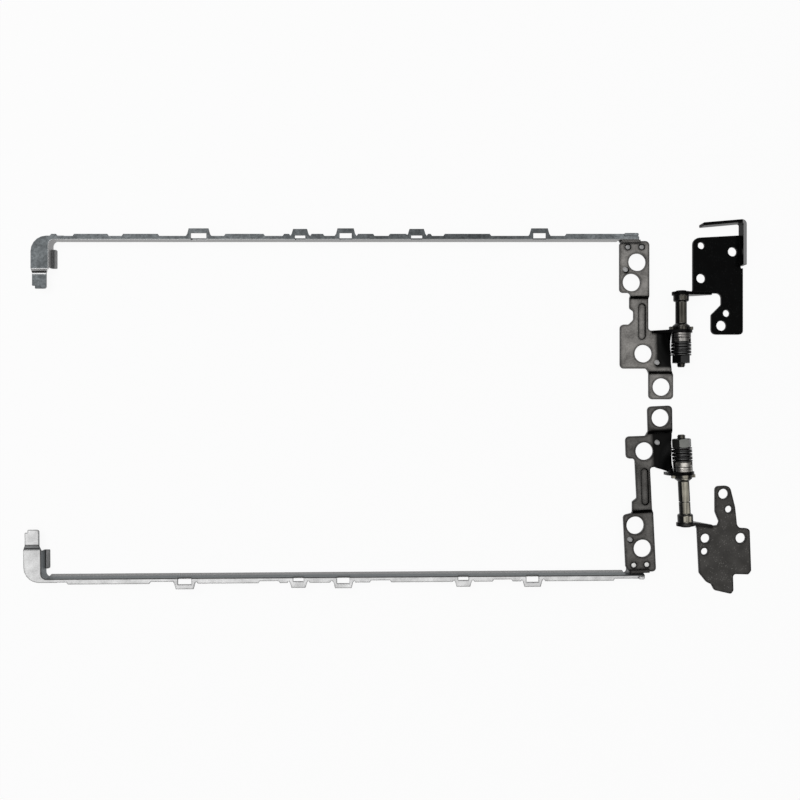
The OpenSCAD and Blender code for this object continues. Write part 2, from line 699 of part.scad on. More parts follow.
// Screen rail drawn from the rivets: wall, notched flange with loops, foot and riveting tongue
module rail(rail_len, drawn_len, inner, lean, pads, tabs, curl) {
    stretch = rail_len / drawn_len;
    foot_x = rail_near_end - rail_len;
    narrow_y = inner + flange_narrow;
    wide_y = narrow_y + flange_step;
    corner_x = foot_x + foot_w + foot_bend_r;
    tongue_z = high_top - strip_t - rail_t;
    wall_mid = inner + (rail_t - lean) / 2;
    difference() {
        union() {
            // Leaning wall
            translate([corner_x, 0, 0])
                rotate([90, 0, 90])
                    linear_extrude(rail_near_end - corner_x)
                        polygon([
                            [inner - lean, 0], [inner - lean + rail_t, 0], [inner + rail_t, rail_h - rail_t],
                            [inner + rail_t, rail_h], [inner, rail_h]]);
            // Narrow flange
            translate([0, 0, rail_h - rail_t])
                linear_extrude(rail_t)
                    polygon(rounded([
                        [corner_x, inner + join, 0], [rail_near_end, inner + join, 0],
                        [rail_near_end, narrow_y, flange_end_r], [corner_x, narrow_y, 0]]));
            for (p = pads)
                pad(p[0] * stretch, p[1] * stretch, narrow_y, flange_step);
            for (t = tabs) {
                pad(t[0] * stretch - pad_slope, t[1] * stretch + pad_slope, narrow_y, flange_step);
                pad(t[0] * stretch, t[1] * stretch, wide_y, t[2] == 1 ? loop_reach : loop_reach - 0.2);
            }
            rail_curl(curl[0], curl[1], curl[2] == 1 ? wide_y : narrow_y);
            rail_foot(foot_x, inner);
            // Tongue under the display bracket, wider where it leaves the wall
            translate([0, 0, tongue_z])
                linear_extrude(rail_t)
                    polygon([
                        [tongue_from - tongue_flare, wall_mid], [tongue_from, inner - 1.2],
                        [tongue_from, inner - tongue_w], [tongue_to, inner - tongue_w],
                        [tongue_to, inner - 1.2], [rail_near_end, wall_mid]]);
        }
        // The wall is lower over the tongue
        translate([tongue_from - tongue_flare, inner - lean - cut, -cut])
            cube([tongue_to - tongue_from + tongue_flare + cut, lean + rail_t + 2 * cut, tongue_z + cut]);
        for (t = tabs)
            tab_window([t[0] * stretch, t[1] * stretch, t[2]], inner, narrow_y, wide_y);
    }
}

// Stretch near the end where the flange's edge is rolled up
module rail_curl(from, to, edge) {
    width = 0.95;
    translate([0, 0, rail_h - rail_t])
        linear_extrude(rail_t + curl_h)
            polygon(rounded([
                [from, edge + curl_out - width, 0.3], [to, edge + curl_out - width, 0.3],
                [to, edge + curl_out, 0.5], [from, edge + curl_out, 0.5]]));
}

// Window of a clip loop or of a solid tab
module tab_window(t, inner, narrow_y, wide_y) {
    side = t[2] == 1 ? 1.2 : 1.1;
    top = t[2] == 1 ? wide_y + loop_reach - loop_strip : narrow_y + 0.2;
    translate([t[0] + side, inner - join, rail_h - rail_t - 0.5])
        cube([t[1] - t[0] - 2 * side, top - inner + join, rail_t + 2 * cut]);
}

// Foot of the rail: rounded corner, plate, wall, inner tab, joggle and tongue
module rail_foot(foot_x, inner) {
    in_x = foot_x + foot_w;
    top_y = inner + flange_narrow + 0.1;
    end_y = top_y - foot_len;
    drop = 1.2;
    tongue_z = rail_h - rail_t - drop;
    tip_y = end_y - 1.3 - foot_tongue_len;
    step = 1.2;
    // The plate's inner edge runs in the middle of the wall's thickness
    mid = rail_t / 2;
    intersection() {
        linear_extrude(rail_h)
            polygon(rounded([
                [foot_x, end_y, 0], [foot_x, top_y, foot_r], [in_x + 3 * foot_bend_r, top_y, 0],
                [in_x + 3 * foot_bend_r, inner + mid, 0], [in_x - mid, inner + mid, foot_bend_r + mid],
                [in_x - mid, end_y + 0.8, 0], [in_x, end_y + 0.8, 0], [in_x, end_y, 0.4],
                [foot_x + foot_tongue_w, end_y - step, 0.4], [foot_x + foot_tongue_w, tip_y, 0.8],
                [foot_x + 1.0, tip_y, 0.2], [foot_x + 1.0, tip_y + 1.0, 0.2], [foot_x, tip_y + 1.0, 0.2]]));
        rotate([90, 0, 90])
            translate([0, 0, foot_x - cut])
                linear_extrude(foot_w + 4 * foot_bend_r + 2 * cut)
                    polygon([
                        [tip_y - cut, tongue_z], [end_y - step, tongue_z], [end_y, rail_h - rail_t],
                        [top_y + cut, rail_h - rail_t], [top_y + cut, rail_h], [end_y - 0.2, rail_h],
                        [end_y - step - 0.2, tongue_z + rail_t], [tip_y - cut, tongue_z + rail_t]]);
    }
    // Wall around the inner corner
    intersection() {
        translate([in_x + foot_bend_r, inner - foot_bend_r, 0])
            difference() {
                cylinder(r = foot_bend_r + rail_t, h = rail_h, $fn = round_fn);
                translate([0, 0, -cut])
                    cylinder(r = foot_bend_r, h = rail_h + 2 * cut, $fn = round_fn);
            }
        translate([in_x - rail_t, inner - foot_bend_r, 0])
            cube([foot_bend_r + rail_t, foot_bend_r + rail_t, rail_h]);
    }
    translate([in_x - rail_t, end_y + 0.4, 0])
        cube([rail_t, inner - foot_bend_r - end_y - 0.4, rail_h]);
    // Inner tab along the bottom of the wall
    translate([in_x - join, end_y + 0.4, 0])
        linear_extrude(rail_t)
            polygon(rounded([
                [0, 0, 0], [foot_tab_w + join, 0, 0.3], [foot_tab_w + join, foot_tab_len, 0.6],
                [0, foot_tab_len, 0]]));
}

// Place along Y of the inner face of an arm: square at the eye, then sloping outwards
function arm_line(arm_y, slope, x) = arm_y + slope * max(0, x - arm_bend_x);

// Moves to the start of the fold between arm and plate, with X along the fold
module at_fold(arm_y, slope) {
    translate([fold_x, arm_line(arm_y, slope, fold_x), 0])
        rotate([0, 0, atan(slope)])
            children();
}

// Arm of a base bracket: eye on the shaft and sloping edge down to the fold
module arm(arm_y, slope, fold_to) {
    start_x = -eye_r - cut;
    end_y = arm_line(arm_y, slope, fold_to);
    difference() {
        intersection() {
            linear_extrude(axis_z + eye_r + cut)
                polygon([
                    [start_x, arm_y], [arm_bend_x, arm_y], [fold_to, end_y], [fold_to, end_y + base_t],
                    [arm_bend_x, arm_y + base_t], [start_x, arm_y + base_t]]);
            standing(arm_y - cut, end_y - arm_y + base_t + 2 * cut) {
                translate([0, axis_z])
                    circle(r = eye_r, $fn = round_fn);
                polygon([
                    [eye_r * sin(10), axis_z + eye_r * cos(10)], [fold_to - 2.5, base_t + 2.0],
                    [fold_to, base_t + 0.6], [fold_to, 0.4], [fold_x, 0.4], [fold_x - 1.6, 1.0],
                    [0, axis_z - eye_r], [0, axis_z]]);
            }
        }
        disc(rivet_neck_d + 2 * face_gap, arm_y - cut, base_t + 2 * cut);
    }
    // Bend between arm and plate, rounded outside
    at_fold(arm_y, slope)
        rotate([90, 0, 90])
            linear_extrude((fold_to - fold_x) / cos(atan(slope)))
                polygon(rounded([
                    [0, 0, base_t], [base_t + 1, 0, 0], [base_t + 1, base_t, 0], [base_t, base_t, 0],
                    [base_t, base_t + 0.6, 0], [0, base_t + 0.6, 0]]));
}

// Removes the plate where the bend takes its place
module bend_room(arm_y, slope, fold_to) {
    at_fold(arm_y, slope)
        translate([-cut, -cut, -cut])
            cube([(fold_to - fold_x) / cos(atan(slope)) + cut, cut + base_t, base_t + 2 * cut]);
}

// Place along Y of the outer face of the hook, which leans in towards its end
function hook_line(x) = hook_y - hook_slope * (right_edge - x);

// Right base bracket: plate, arm, upright wall and hook
module right_base() {
    difference() {
        union() {
            difference() {
                linear_extrude(base_t)
                    polygon(rounded(right_base_outline));
                bend_room(right_arm_y, right_arm_slope, right_fold_to);
            }
            arm(right_arm_y, right_arm_slope, right_fold_to);
            linear_extrude(wall_h)
                polygon(rounded([
                    [right_edge, wall_from, 0], [right_edge, hook_y, 1.6],
                    [hook_from, hook_line(hook_from), 0.3], [hook_from, hook_line(hook_from) - base_t, 0.3],
                    [right_edge - base_t, hook_line(right_edge) - base_t, 0.6],
                    [right_edge - base_t, wall_from, 0]]));
        }
        for (p = right_screw_holes)
            hole(p, base_hole_d);
        hole(right_wide_hole, base_wide_d);
        for (p = right_pin_holes)
            hole(p, base_pin_d);
        // Relief at the lower end of the wall
        translate([right_edge - 0.3, wall_from - 0.35, -cut])
            cylinder(r = 0.5, h = wall_h + 2 * cut, $fn = 24);
    }
}

// Left base bracket: plate and arm
module left_base() {
    difference() {
        union() {
            difference() {
                linear_extrude(base_t)
                    polygon(rounded(left_base_outline));
                bend_room(left_arm_y, left_arm_slope, left_fold_to);
            }
            arm(left_arm_y, left_arm_slope, left_fold_to);
        }
        hole(left_screw_hole, base_hole_d);
        for (p = left_wide_holes)
            hole(p, base_wide_d);
        for (p = left_pin_holes)
            hole(p, base_pin_d);
    }
}

// Places of the two hinges
module at_right() {
    translate([right_x, right_y, 0])
        children();
}
module at_left() {
    translate([left_x, left_y, 0])
        rotate([0, 0, left_turn])
            mirror([0, 1, 0])
                children();
}

module right_rail() {
    at_right()
        color([0.60, 0.64, 0.66])
        difference() {
            translate([right_rivet_at.x, right_rivet_at.y, 0])
                rail(right_rail_len, right_drawn_len, rail_inner_right, right_lean, right_pads, right_tabs,
                     right_curl);
            rivet_holes(right_rivet_at, right_rivet_pitch);
        }
}
module left_rail() {
    at_left()
        color([0.78, 0.80, 0.81])
        difference() {
            translate([left_rivet_at.x, left_rivet_at.y, 0])
                rotate([0, 0, left_rail_skew])
                    rail(left_rail_len, left_drawn_len, rail_inner_left, left_lean, left_pads, left_tabs,
                         left_curl);
            rivet_holes(left_rivet_at, left_rivet_pitch);
        }
}
module rivet_holes(at, pitch) {
    for (side = [-1, 1])
        hole([at.x + side * pitch / 2, at.y], rivet_d + 2 * rivet_gap);
}

module right_display_bracket() {
    at_right()
        display_bracket(right_outline, right_low_y, right_high_y, right_foot_x, 0, right_holes, right_pips,
                        right_rib, right_rivet_at, right_rivet_pitch, right_stand,
                        right_rivet_at.y + rail_inner_right - right_stand_gap, [0.45, 0.43, 0.41]);
}
module left_display_bracket() {
    at_left()
        display_bracket(left_outline, left_low_y, left_high_y, left_foot_x, left_knuckle_skew, left_holes,
                        left_pips, left_rib, left_rivet_at, left_rivet_pitch, left_stand,
                        left_rivet_at.y + rail_inner_left - left_stand_gap, [0.36, 0.35, 0.34]);
}
module right_rivets() { at_right() rivets(right_rivet_at, right_rivet_pitch); }
module left_rivets() { at_left() rivets(left_rivet_at, left_rivet_pitch); }
module right_shaft() { at_right() shaft(right_stack, right_arm_y, right_collar_len, 0); }
module left_shaft() { at_left() shaft(left_stack, left_arm_y, left_collar_len, left_groove_y); }
module right_base_bracket() { at_right() color([0.05, 0.05, 0.06]) right_base(); }
module left_base_bracket() { at_left() color([0.29, 0.275, 0.26]) left_base(); }

right_rail();
right_display_bracket();
right_rivets();
right_shaft();
right_base_bracket();
at_right() stop_plate();  // right_stop_plate
at_right() friction_washer();  // right_friction_washer
at_right() key_washer();  // right_key_washer
at_right() pressure_washer(right_stack);  // right_pressure_washer
for (i = [1 : 2 * spring_pairs])
    at_right() disc_spring(right_stack, i);
at_right() nut(right_stack);  // right_nut
left_rail();
left_display_bracket();
left_rivets();
left_shaft();
left_base_bracket();
at_left() stop_plate();  // left_stop_plate
at_left() friction_washer();  // left_friction_washer
at_left() key_washer();  // left_key_washer
at_left() pressure_washer(left_stack);  // left_pressure_washer
for (i = [1 : 2 * spring_pairs])
    at_left() disc_spring(left_stack, i);
at_left() nut(left_stack);  // left_nut
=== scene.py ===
# %% [markdown]
# # A pair of laptop hinges
# The two hinges of a laptop lie open on a table, seen from straight above. Each has a long zinc plated
# rail that holds the screen, a stepped display bracket riveted to it, and a black bracket that is screwed
# into the base. Between the two brackets sits the friction knuckle: a flatted shaft with washers, disc
# springs and a nut. The exact shapes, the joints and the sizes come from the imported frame. This script
# adds what makes them look made: pressed edges with a small radius, screw threads, disc springs with
# rounded rims, and a finish for each metal.

# %% Load the frame
import json
import math

import bmesh
import bpy
from mathutils import Matrix, Vector

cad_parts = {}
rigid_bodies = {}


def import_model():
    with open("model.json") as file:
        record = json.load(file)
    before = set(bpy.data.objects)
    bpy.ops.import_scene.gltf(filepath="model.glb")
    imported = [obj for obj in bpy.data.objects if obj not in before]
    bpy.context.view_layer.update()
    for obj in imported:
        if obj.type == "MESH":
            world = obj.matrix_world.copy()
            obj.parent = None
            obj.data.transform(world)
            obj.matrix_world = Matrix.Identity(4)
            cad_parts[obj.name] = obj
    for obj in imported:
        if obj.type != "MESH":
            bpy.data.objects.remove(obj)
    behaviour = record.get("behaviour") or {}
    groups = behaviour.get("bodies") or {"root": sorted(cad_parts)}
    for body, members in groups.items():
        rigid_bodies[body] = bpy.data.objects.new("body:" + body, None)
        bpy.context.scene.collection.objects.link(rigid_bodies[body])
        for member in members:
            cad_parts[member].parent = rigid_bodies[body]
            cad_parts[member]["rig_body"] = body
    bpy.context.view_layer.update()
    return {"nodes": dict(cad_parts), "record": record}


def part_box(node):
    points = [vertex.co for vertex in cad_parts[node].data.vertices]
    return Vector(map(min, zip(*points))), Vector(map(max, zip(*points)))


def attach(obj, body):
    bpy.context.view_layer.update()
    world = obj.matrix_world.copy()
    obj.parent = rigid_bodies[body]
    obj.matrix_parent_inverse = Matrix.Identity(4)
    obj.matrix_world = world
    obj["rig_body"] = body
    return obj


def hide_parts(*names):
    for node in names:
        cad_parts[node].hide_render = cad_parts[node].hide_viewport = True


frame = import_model()
scene = bpy.context.scene
MM = 0.001
print("nodes in the frame:", len(frame["nodes"]))

# %% [markdown]
# The camera hangs over the middle of the pair. It could hang far away with a long lens, and then every
# upright wall would be hidden under its own top edge. From near by, with a wide view, a thin strip of the
# inner side of each rail's wall shows, and this is what the picture has. The focal length follows from the
# width taken in at table height and from the camera's height. The Standard view transform is chosen because
# it shows a colour about as it is written.

# %% Camera
CAMERA_HEIGHT = 300 * MM
VIEW_WIDTH = 280 * MM
VIEW_CENTRE = (3.7 * MM, 2.58 * MM)
SENSOR_WIDTH = 36.0
NEAREST_SEEN = 10 * MM


def make_camera():
    """A camera that looks straight down on the middle of the pair."""
    data = bpy.data.cameras.new("overhead")
    data.sensor_width = SENSOR_WIDTH
    data.lens = SENSOR_WIDTH * CAMERA_HEIGHT / VIEW_WIDTH
    data.clip_start = NEAREST_SEEN
    camera = bpy.data.objects.new("overhead", data)
    camera.location = (*VIEW_CENTRE, CAMERA_HEIGHT)
    scene.collection.objects.link(camera)
    scene.camera = camera
    return camera


scene.view_settings.view_transform = "Standard"
print("lens:", round(make_camera().data.lens, 2), "mm")

# %% [markdown]
# Dome, floor and finishes are all node trees, and each could be wired by hand, with several lines for every
# node. One helper that adds a node, fills in its inputs and returns an output lets a tree be written like a
# sum, from the inside out. An input may be a number, a colour or the output of another node.

# %% Small helpers for node trees
def add(tree, kind, settings=None, inputs=None, output=0):
    """Adds a node, sets its properties and its inputs, and returns one of its outputs."""
    node = tree.nodes.new(kind)
    for key, value in (settings or {}).items():
        setattr(node, key, value)
    for key, value in (inputs or {}).items():
        if isinstance(value, bpy.types.NodeSocket):
            tree.links.new(value, node.inputs[key])
        else:
            node.inputs[key].default_value = value
    return node.outputs[output]


def maths(tree, operation, a, b=0.0):
    """One sum on two numbers."""
    return add(tree, "ShaderNodeMath", {"operation": operation}, {0: a, 1: b})


def grey(value, tint=(1.0, 1.0, 1.0)):
    """A grey of one brightness, with a tint that is close to white."""
    return (value * tint[0], value * tint[1], value * tint[2], 1.0)


print("middle grey:", grey(0.5))

# %% [markdown]
# Metal shows what stands around it, so the surroundings are half of its finish. Many lamps could be set up
# for that, but each would leave its own hard spot. A dome that is bright only overhead works like a light
# tent with dark sides: flat plates get an even tone, and bends, hole walls and round bars fall off almost
# to black. The ramp says how bright the dome is, from the horizon (0) to straight overhead (1). The camera
# itself sees a plain pale backdrop instead of the dome, so that a low view has no dark band above the
# floor.

# %% Light tent
TENT = [(0.0, 0.18), (0.5, 0.20), (0.72, 0.30), (0.86, 0.85), (0.95, 1.13), (1.0, 1.13)]
BACKDROP = 0.97


def ramp_of(tree, value, steps):
    """A colour ramp in greys, from pairs of a position and a brightness."""
    ramp = tree.nodes.new("ShaderNodeValToRGB")
    stops = ramp.color_ramp.elements
    while len(stops) < len(steps):
        stops.new(0.5)
    for stop, (position, level) in zip(stops, steps):
        stop.position = position
        stop.color = grey(level)
    tree.links.new(value, ramp.inputs[0])
    return ramp.outputs[0]


def make_tent():
    """A world that lights the metal from above and shows the camera a pale backdrop."""
    world = bpy.data.worlds.new("light_tent")
    scene.world = world
    world.use_nodes = True
    tree = world.node_tree
    tree.nodes.clear()
    direction = add(tree, "ShaderNodeTexCoord", output="Generated")
    height = add(tree, "ShaderNodeSeparateXYZ", None, {0: direction}, "Z")
    tent = add(tree, "ShaderNodeBackground", None, {"Color": ramp_of(tree, height, TENT)})
    pale = add(tree, "ShaderNodeBackground", None, {"Color": grey(BACKDROP)})
    to_camera = add(tree, "ShaderNodeLightPath", output="Is Camera Ray")
    seen = add(tree, "ShaderNodeMixShader", None, {0: to_camera, 1: tent, 2: pale})
    tree.links.new(seen, tree.nodes.new("ShaderNodeOutputWorld").inputs[0])


make_tent()
print("steps of the tent:", len(TENT))

# %% [markdown]
# A dome alone gives no direction. One large, soft lamp from the upper left adds it, and with it a soft
# shadow. It is kept weak, so that the pale left rail doesn't clip to white.

# %% Lamp
LAMP_PLACE = (-0.35, 0.30, 0.75)
LAMP_WIDTH = 0.5
LAMP_POWER = 2.0


def make_lamp():
    """A round lamp that faces the middle of the table."""
    data = bpy.data.lights.new("key", "AREA")
    data.shape = "DISK"
    data.size = LAMP_WIDTH
    data.energy = LAMP_POWER
    lamp = bpy.data.objects.new("key", data)
    lamp.location = LAMP_PLACE
    lamp.rotation_euler = (-Vector(LAMP_PLACE)).to_track_quat("-Z", "Y").to_euler()
    scene.collection.objects.link(lamp)


make_lamp()
print("lamp power:", LAMP_POWER, "W")

# %% [markdown]
# The table is white. Enough light to make it white would also burn out the zinc, so the light stays plain
# and the floor glows instead, for two kinds of ray only: those of the camera, and those that a metal sends
# out as a mirror. The small share that remains is a dull pale paint, and this still takes a faint shadow
# of the hinges.

# %% Floor
FLOOR_REACH = 3.0
FLOOR_TONE = 0.82
FLOOR_ROUGH = 0.9
FLOOR_SHINE = 0.1
FLOOR_GLOW = 0.93


def floor_paint():
    """A pale paint that glows for the camera and in reflections."""
    paint = bpy.data.materials.new("pale_floor")
    paint.use_nodes = True
    tree = paint.node_tree
    dull = tree.nodes["Principled BSDF"]
    dull.inputs["Base Color"].default_value = grey(FLOOR_TONE)
    dull.inputs["Roughness"].default_value = FLOOR_ROUGH
    dull.inputs["Specular IOR Level"].default_value = FLOOR_SHINE
    to_camera = add(tree, "ShaderNodeLightPath", output="Is Camera Ray")
    as_mirror = add(tree, "ShaderNodeLightPath", output="Is Glossy Ray")
    share = maths(tree, "MULTIPLY", maths(tree, "MAXIMUM", to_camera, as_mirror), FLOOR_GLOW)
    glow = add(tree, "ShaderNodeEmission")
    paint_and_glow = add(tree, "ShaderNodeMixShader", None, {0: share, 1: dull.outputs[0], 2: glow})
    tree.links.new(paint_and_glow, tree.nodes["Material Output"].inputs["Surface"])
    return paint


def make_floor():
    """One large square at table height."""
    corners = [(x * FLOOR_REACH, y * FLOOR_REACH, 0) for x, y in ((-1, -1), (1, -1), (1, 1), (-1, 1))]
    mesh = bpy.data.meshes.new("floor")
    mesh.from_pydata(corners, [], [(0, 1, 2, 3)])
    mesh.materials.append(floor_paint())
    floor = bpy.data.objects.new("floor", mesh)
    scene.collection.objects.link(floor)


make_floor()
print("floor tone:", FLOOR_TONE)

# %% [markdown]
# A finish changes from place to place, and light and shade are painted into it too: the fold of the right
# rail gets a painted highlight, a bend painted shade. Such places could be painted on a picture, but then
# each piece would need an unwrapped map. Here they are worked out as masks, numbers between 0 and 1, from
# places in millimetres on the piece itself. They stay where they are when a hinge turns, because Object
# coordinates turn with the piece.

# %% Masks by place and by direction
def millimetres(tree):
    """The place on the piece, in millimetres of the frame."""
    place = add(tree, "ShaderNodeTexCoord", output="Object")
    return add(tree, "ShaderNodeVectorMath", {"operation": "SCALE"}, {0: place, "Scale": 1 / MM})


def axis_of(tree, vector, axis):
    """X, Y or Z of a vector."""
    return add(tree, "ShaderNodeSeparateXYZ", None, {0: vector}, axis)


def between(tree, value, low, high, to_low=0.0, to_high=1.0):
    """Goes from one number at low to another at high, and stays level beyond them."""
    return add(tree, "ShaderNodeMapRange", {"clamp": True},
               {"Value": value, "From Min": low, "From Max": high, "To Min": to_low, "To Max": to_high})


def along(tree, place, axis, low, high):
    """0 below one place along an axis and 1 above another."""
    return between(tree, axis_of(tree, place, axis), low, high)


def band(tree, value, low, high, soft=0.08):
    """1 between two numbers and 0 outside them, with soft borders."""
    rise = between(tree, value, low - soft, low + soft)
    return maths(tree, "MULTIPLY", rise, between(tree, value, high + soft, high - soft))


def facing_up(tree, low, high):
    """1 where the piece, lying open, looks up, and 0 on its bends and sides."""
    return along(tree, add(tree, "ShaderNodeTexCoord", output="Normal"), "Z", low, high)


print("masks by place and direction ready")

# %% [markdown]
# Sheared and rolled edges are where a coat wears or where it gathers, and where a rounded edge catches a
# highlight or falls into shade; both the wear and this light and shade are painted here. Edges could be
# marked one by one, but they are already in the shape: the Bevel node gives the surface normal as if the
# edges were rounded by a radius. Where it differs from the true normal there is an edge near by. This works
# on any piece and needs no map.

# %% Mask of the edges
EDGE_SAMPLES = 4
NO_EDGE = 0.998
FULL_EDGE = 0.96


def at_edge(tree, radius):
    """1 on an edge of the piece, 0 away from it."""
    softened = add(tree, "ShaderNodeBevel", {"samples": EDGE_SAMPLES}, {"Radius": radius * MM})
    true = add(tree, "ShaderNodeNewGeometry", output="Normal")
    alike = add(tree, "ShaderNodeVectorMath", {"operation": "DOT_PRODUCT"}, {0: softened, 1: true}, "Value")
    return between(tree, alike, NO_EDGE, FULL_EDGE)


print("an edge begins at", round(math.degrees(math.acos(NO_EDGE)), 1), "degrees between the normals")

# %% [markdown]
# Every metal here is a coat in layers, so all finishes start alike. Two tones are mixed by slow clouds and
# a fine grain, because plating and blackening are never quite even. Then come the layers that one finish
# has and another hasn't, each in a short function that is defined with the piece that needs it first. A
# coat keeps its colour so far, and the masks that later layers use again.

# %% A coat and its first two tones
CLOUD_SCALE = 0.25
CLOUD_RANGE = (0.35, 0.65)
CLOUD_SHARE = 0.45
GRAIN_ROUGH = 0.65
GRAIN_RANGE = (0.3, 0.7)
DETAIL = 3.0


def noise(tree, place, scale, detail=2.0, rough=0.5):
    """Soft random clouds between 0 and 1; the scale is how many fit in a millimetre."""
    return add(tree, "ShaderNodeTexNoise", None,
               {"Vector": place, "Scale": scale, "Detail": detail, "Roughness": rough})


def mix(tree, share, a, b):
    """Colour a where the share is 0, colour b where it is 1."""
    return add(tree, "ShaderNodeMix", {"data_type": "RGBA"}, {0: share, 6: a, 7: b}, 2)


class Coat:
    """A finish in the making: its node tree, its colour so far and the masks that later layers use."""

    def __init__(self, name, dark, light, grain=4.0):
        self.name = name
        self.material = bpy.data.materials.new(name)
        self.material.use_nodes = True
        self.tree = self.material.node_tree
        self.place = millimetres(self.tree)
        self.grain = noise(self.tree, self.place, grain, DETAIL, GRAIN_ROUGH)
        clouds = between(self.tree, noise(self.tree, self.place, CLOUD_SCALE, DETAIL), *CLOUD_RANGE)
        grains = between(self.tree, self.grain, *GRAIN_RANGE)
        share = maths(self.tree, "ADD", maths(self.tree, "MULTIPLY", clouds, CLOUD_SHARE),
                      maths(self.tree, "MULTIPLY", grains, 1.0 - CLOUD_SHARE))
        self.colour = mix(self.tree, share, dark, light)
        self.upward = None
        self.painted_bend_tone = None
        self.dull = None

    def lay(self, mask, tone):
        """Lays a tone over the colour where a mask is 1."""
        self.colour = mix(self.tree, mask, self.colour, tone)

    def brighten(self, gain):
        """Multiplies the colour by a number or by the output of a node."""
        self.colour = add(self.tree, "ShaderNodeVectorMath", {"operation": "SCALE"},
                          {0: self.colour, "Scale": gain})


print("clouds about", 1 / CLOUD_SCALE, "mm wide")

# %% [markdown]
# Three steps come back in every finish. Bends and sides take a tone of their own, and this is painted light:
# painted shade where they turn away from the overhead light, and a paler tone on the walls of the right
# rail. Edges take another, dark where it is painted shade and the coat gathers, bright where it is a painted
# highlight and the coat is worn off; the grain breaks their line up. At the end the colour goes to the
# shader, and the same grain sets the roughness and a slight relief, so that tone and shine change together.
# A number that is the same all over is set on the shader's own socket. The metal loses its shine only where
# a mask says that it is dull.

# %% Bends, edges and the end of a coat
RELIEF_DEPTH = 0.02 * MM
EDGE_BREAK_RANGE = (0.3, 0.6)
LEAST_EDGE_SHARE = 0.7
FINISHES = {}


def shade_bends(coat, tone, low=0.55, high=0.92):
    """Paints light and shade on what doesn't look up, as a tone of its own."""
    coat.upward = facing_up(coat.tree, low, high)
    coat.painted_bend_tone = tone
    coat.colour = mix(coat.tree, coat.upward, tone, coat.colour)


def paint_edge_light_and_wear(coat, tone, share, radius=0.14):
    """Lays a tone along the edges, painted shade where it is dark and painted highlight with wear where it
    is bright, broken up by the grain.
    """
    uneven = between(coat.tree, coat.grain, *EDGE_BREAK_RANGE, LEAST_EDGE_SHARE, 1.0)
    edge_light_and_wear = maths(coat.tree, "MULTIPLY", at_edge(coat.tree, radius), uneven)
    coat.lay(maths(coat.tree, "MULTIPLY", edge_light_and_wear, share), tone)


def finish(coat, rough=(0.3, 0.42), relief=0.3, metallic=1.0, specular=0.5):
    """Connects a coat to its shader and keeps the material under the coat's name."""
    tree = coat.tree
    shader = tree.nodes["Principled BSDF"]
    if coat.dull is None:
        shader.inputs["Metallic"].default_value = metallic
    else:
        tree.links.new(between(tree, coat.dull, 0.0, 1.0, metallic, 0.0), shader.inputs["Metallic"])
    shader.inputs["Specular IOR Level"].default_value = specular
    tree.links.new(coat.colour, shader.inputs["Base Color"])
    tree.links.new(between(tree, coat.grain, *GRAIN_RANGE, *rough), shader.inputs["Roughness"])
    bumps = {"Strength": relief, "Distance": RELIEF_DEPTH, "Height": coat.grain}
    tree.links.new(add(tree, "ShaderNodeBump", None, bumps), shader.inputs["Normal"])
    FINISHES[coat.name] = coat.material


print("depth of the relief:", RELIEF_DEPTH / MM, "mm")

# %% [markdown]
# Each rail is one strip of zinc plated steel. Its long fold runs on around the inner corner of the foot, and
# a line is painted along it: a painted highlight on the right rail and painted shade on the left. A mask
# along one axis would break off at that corner. A distance from the corner's middle, measured level along
# both arms, follows the fold around the bend, and finds the inner tab beyond it, which gets a paler, dull
# tone as painted light. The foot has a step with bands of painted highlight and painted shade across it, and
# these are found along the second arm.

# %% Fold, tab and step of a rail
FOLD_RADIUS = 1.8
FOLD_INSIDE = 0.2
TAB_REACH = (1.4, 1.2)


def from_corner(tree, place, corner):
    """Distance from the middle of a rail's inner corner, and the place measured along its two arms."""
    arms = add(tree, "ShaderNodeMapping", {"vector_type": "TEXTURE"},
               {"Vector": place, "Location": corner["at"], "Rotation": (0, 0, corner["turn"]),
                "Scale": corner["arms"]})
    near = add(tree, "ShaderNodeVectorMath", {"operation": "MAXIMUM"}, {0: arms, 1: (0, 0, 0)})
    flat = add(tree, "ShaderNodeVectorMath", {"operation": "MULTIPLY"}, {0: near, 1: (1, 1, 0)})
    return add(tree, "ShaderNodeVectorMath", {"operation": "LENGTH"}, {0: flat}, "Value"), arms


def mark_corner(coat, corner):
    """Paints light and shade on the fold, the inner tab and the step of the foot."""
    reach, arms = from_corner(coat.tree, coat.place, corner)
    fold = band(coat.tree, reach, FOLD_RADIUS - FOLD_INSIDE, FOLD_RADIUS + corner["fold_width"])
    coat.lay(maths(coat.tree, "MULTIPLY", fold, coat.upward), corner["fold"])
    coat.dull = between(coat.tree, reach, *TAB_REACH)
    coat.lay(coat.dull, corner["tab"])
    for low, high, tone in corner["step"]:
        coat.lay(band(coat.tree, axis_of(coat.tree, arms, "Y"), low, high), tone)


# at: the corner's middle; turn: the rail's slant; arms: which way its arms run; fold and fold_width: tone
# and width of the painted line on the fold; tab: painted light on the inner tab; step: from, to and tone of
# each painted band
RIGHT_CORNER = {
    "at": (-115.75, 56.15, 0.0), "turn": 0.0, "arms": (-1, 1, 1),
    "fold": grey(0.50), "fold_width": 0.10, "tab": grey(0.34),
    "step": [(-8.95, -8.2, grey(0.78)), (-9.4, -9.05, grey(0.09)), (-10.0, -9.6, grey(0.40))]}
LEFT_CORNER = {
    "at": (-118.22, -57.37, 0.0), "turn": math.radians(0.4), "arms": (-1, -1, 1),
    "fold": grey(0.05), "fold_width": 0.30, "tab": grey(0.30),
    "step": [(-8.9, -8.6, grey(0.03)), (-9.9, -9.6, grey(0.03))]}
print("bands on the steps:", len(RIGHT_CORNER["step"]), "and", len(LEFT_CORNER["step"]))

